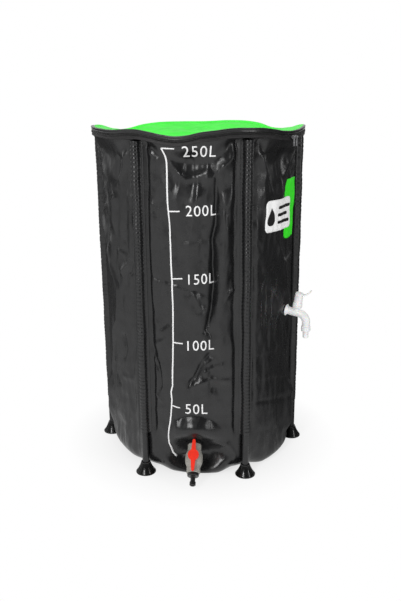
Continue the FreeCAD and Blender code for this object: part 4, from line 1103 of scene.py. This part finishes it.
def round_outline(size, corner, steps=8):
    """Rectangle with round corners."""
    outline = []
    for quarter, (right, up) in enumerate(((1, 1), (-1, 1), (-1, -1), (1, -1))):
        for step in range(steps + 1):
            turn = math.radians(90 * (quarter + step / steps))
            outline.append((right * (size[0] / 2 - corner) + corner * math.cos(turn),
                            up * (size[1] / 2 - corner) + corner * math.sin(turn)))
    return outline


def drop_outline(radius, steps=40):
    """Water drop, its tip upward."""
    turns = [2 * math.pi * step / steps for step in range(steps)]
    wide, tall = 1.25 * radius, 1.35 * radius
    return [(wide * math.sin(t) * math.sin(t / 2) ** 1.4, tall * math.cos(t)) for t in turns]


def badge_part(name, outlines, lift, material):
    shape = bmesh.new()
    for centre, outline in outlines:
        flat_shape(shape, centre, outline)
    cut_grid(shape, 1, 6)
    onto_wall(shape, lift)
    make_piece(name, shape, material)


def make_badge():
    green_lift, white_lift, marks_lift = BADGE_LIFTS
    centre, size, corner = BADGE_GREEN
    badge_part("badge_green", [(centre, round_outline(size, corner))], green_lift, GREEN_INK)
    centre, size, corner = BADGE_WHITE
    badge_part("badge_white", [(centre, round_outline(size, corner))], white_lift, WHITE_INK)
    marks = [(BADGE_DROP[0], drop_outline(BADGE_DROP[1]))]
    marks += [(place, round_outline(bar, bar[1] / 2 - 0.1)) for place, bar in BADGE_BARS]
    badge_part("badge_marks", marks, marks_lift, BLACK_INK)


make_gauge()
make_badge()


# Finish of the CAD pieces that stay

def dress_nodes():
    """Gives each CAD piece the material of its slot."""
    for entry in frame["record"]["subparts"]:
        item = NODES[entry["node"]]
        item.data.materials.clear()
        item.data.materials.append(SLOT_MATERIALS[entry["material_slot"]])


dress_nodes()


# Floor, light and camera

# The reflected studio: direction in which it is brightest, and its strength on the other side and there
WHITE_FLOOR = ((-0.26, -0.97, 0), 0.07, 1.0)
WHITE_WALLS = ((-0.5, 0.86, 0), 0.1, 0.9)


def studio_white(tree, place, look):
    """Who sees the studio's white, and how bright: even for the camera, one-sided in reflections."""
    towards, dark, bright = look
    rays = add(tree, "ShaderNodeLightPath").outputs
    seen = combine(tree, "ADD", rays["Is Camera Ray"], rays["Is Glossy Ray"])
    seen = combine(tree, "ADD", seen, rays["Is Transmission Ray"], use_clamp=True)
    way = add(tree, "ShaderNodeVectorMath", links={0: place}, operation="NORMALIZE")
    front = add(tree, "ShaderNodeVectorMath", {1: towards}, {0: way.outputs[0]}, operation="DOT_PRODUCT")
    fall = {"From Min": -0.45, "From Max": 0.9, "To Min": dark, "To Max": bright}
    shade = add(tree, "ShaderNodeMapRange", fall, {"Value": front.outputs["Value"]},
                interpolation_type="SMOOTHSTEP")
    return seen, combine(tree, "MAXIMUM", shade.outputs[0], rays["Is Camera Ray"])


# Half the floor's width, and the distances and strengths between which its white fades in round the tank
FLOOR_HALF = 12
FLOOR_FADE = {"From Min": 0.25, "From Max": 0.45, "To Min": 0.7, "To Max": 1}


def make_floor():
    """Pale paper sweep: it keeps the soft shadow near the tank and turns to plain white away from it."""
    shape = bmesh.new()
    bmesh.ops.create_grid(shape, x_segments=2, y_segments=2, size=FLOOR_HALF)
    mesh = bpy.data.meshes.new("floor")
    shape.to_mesh(mesh)
    shape.free()
    floor = bpy.data.objects.new("floor", mesh)
    place_in_scene(floor)
    material, tree = new_material("white_paper")
    place = object_place(tree)
    far = add(tree, "ShaderNodeVectorMath", links={0: place}, operation="LENGTH")
    fade = add(tree, "ShaderNodeMapRange", FLOOR_FADE, {"Value": far.outputs["Value"]})
    seen, strength = studio_white(tree, place, WHITE_FLOOR)
    factor = combine(tree, "MULTIPLY", seen, fade.outputs[0])
    paper = add(tree, "ShaderNodeBsdfDiffuse", {"Color": colour("#f9f9f9")})
    glow = add(tree, "ShaderNodeEmission", {"Color": (1, 1, 1, 1)}, {"Strength": strength})
    mix = add(tree, "ShaderNodeMixShader", links={0: factor, 1: paper.outputs[0], 2: glow.outputs[0]})
    finish_material(tree, mix)
    mesh.materials.append(material)


def make_lamp(name, place, target, size, power):
    """Soft box at a place, turned to a target."""
    lamp = bpy.data.lights.new(name, "AREA")
    lamp.shape = "RECTANGLE"
    lamp.size, lamp.size_y = size
    lamp.energy = power
    item = bpy.data.objects.new(name, lamp)
    item.location = place
    item.rotation_euler = (Vector(target) - Vector(place)).to_track_quat("-Z", "Y").to_euler()
    place_in_scene(item)


def make_world():
    """White walls for the camera and in reflections, and a softer fill for the rest."""
    world = bpy.data.worlds.new("studio")
    bpy.context.scene.world = world
    world.use_nodes = True
    tree = world.node_tree
    tree.nodes.clear()
    place = add(tree, "ShaderNodeTexCoord").outputs["Generated"]
    seen, strength = studio_white(tree, place, WHITE_WALLS)
    soft = add(tree, "ShaderNodeBackground", {"Color": (1, 1, 1, 1), "Strength": 0.5})
    white = add(tree, "ShaderNodeBackground", {"Color": (1, 1, 1, 1)}, {"Strength": strength})
    mix = add(tree, "ShaderNodeMixShader", links={0: seen, 1: soft.outputs[0], 2: white.outputs[0]})
    add(tree, "ShaderNodeOutputWorld", links={"Surface": mix.outputs[0]})


# Camera fitted to the photograph's poles and feet: lens, place, and the directions right, up and back
CAMERA_LENS = 42.55
CAMERA_PLACE = (0.15497, -2.15365, 1.12333)
CAMERA_TURN = (
    (0.99764306, 0.06799046, -0.0092534),
    (-0.01105352, 0.29233582, 0.95625184),
    (0.06772111, -0.95389573, 0.29239834),
)


def make_camera():
    camera = bpy.data.cameras.new("camera")
    camera.sensor_fit = "VERTICAL"
    camera.sensor_height = 36
    camera.lens = CAMERA_LENS
    item = bpy.data.objects.new("camera", camera)
    item.matrix_world = Matrix.Translation(CAMERA_PLACE) @ Matrix(CAMERA_TURN).transposed().to_4x4()
    place_in_scene(item)
    bpy.context.scene.camera = item


make_floor()
make_world()
make_lamp("key", (-1.15, -2.85, 1.9), (0, 0, 0.5), (0.6, 1.5), 44)
make_lamp("side", (2.4, -1.6, 1.3), (0, 0, 0.6), (0.5, 1.5), 13)
make_lamp("top", (0, 0.4, 2.8), (0, 0, 0.9), (1.4, 1.4), 12)
make_camera()
bpy.context.scene.view_settings.view_transform = "Standard"
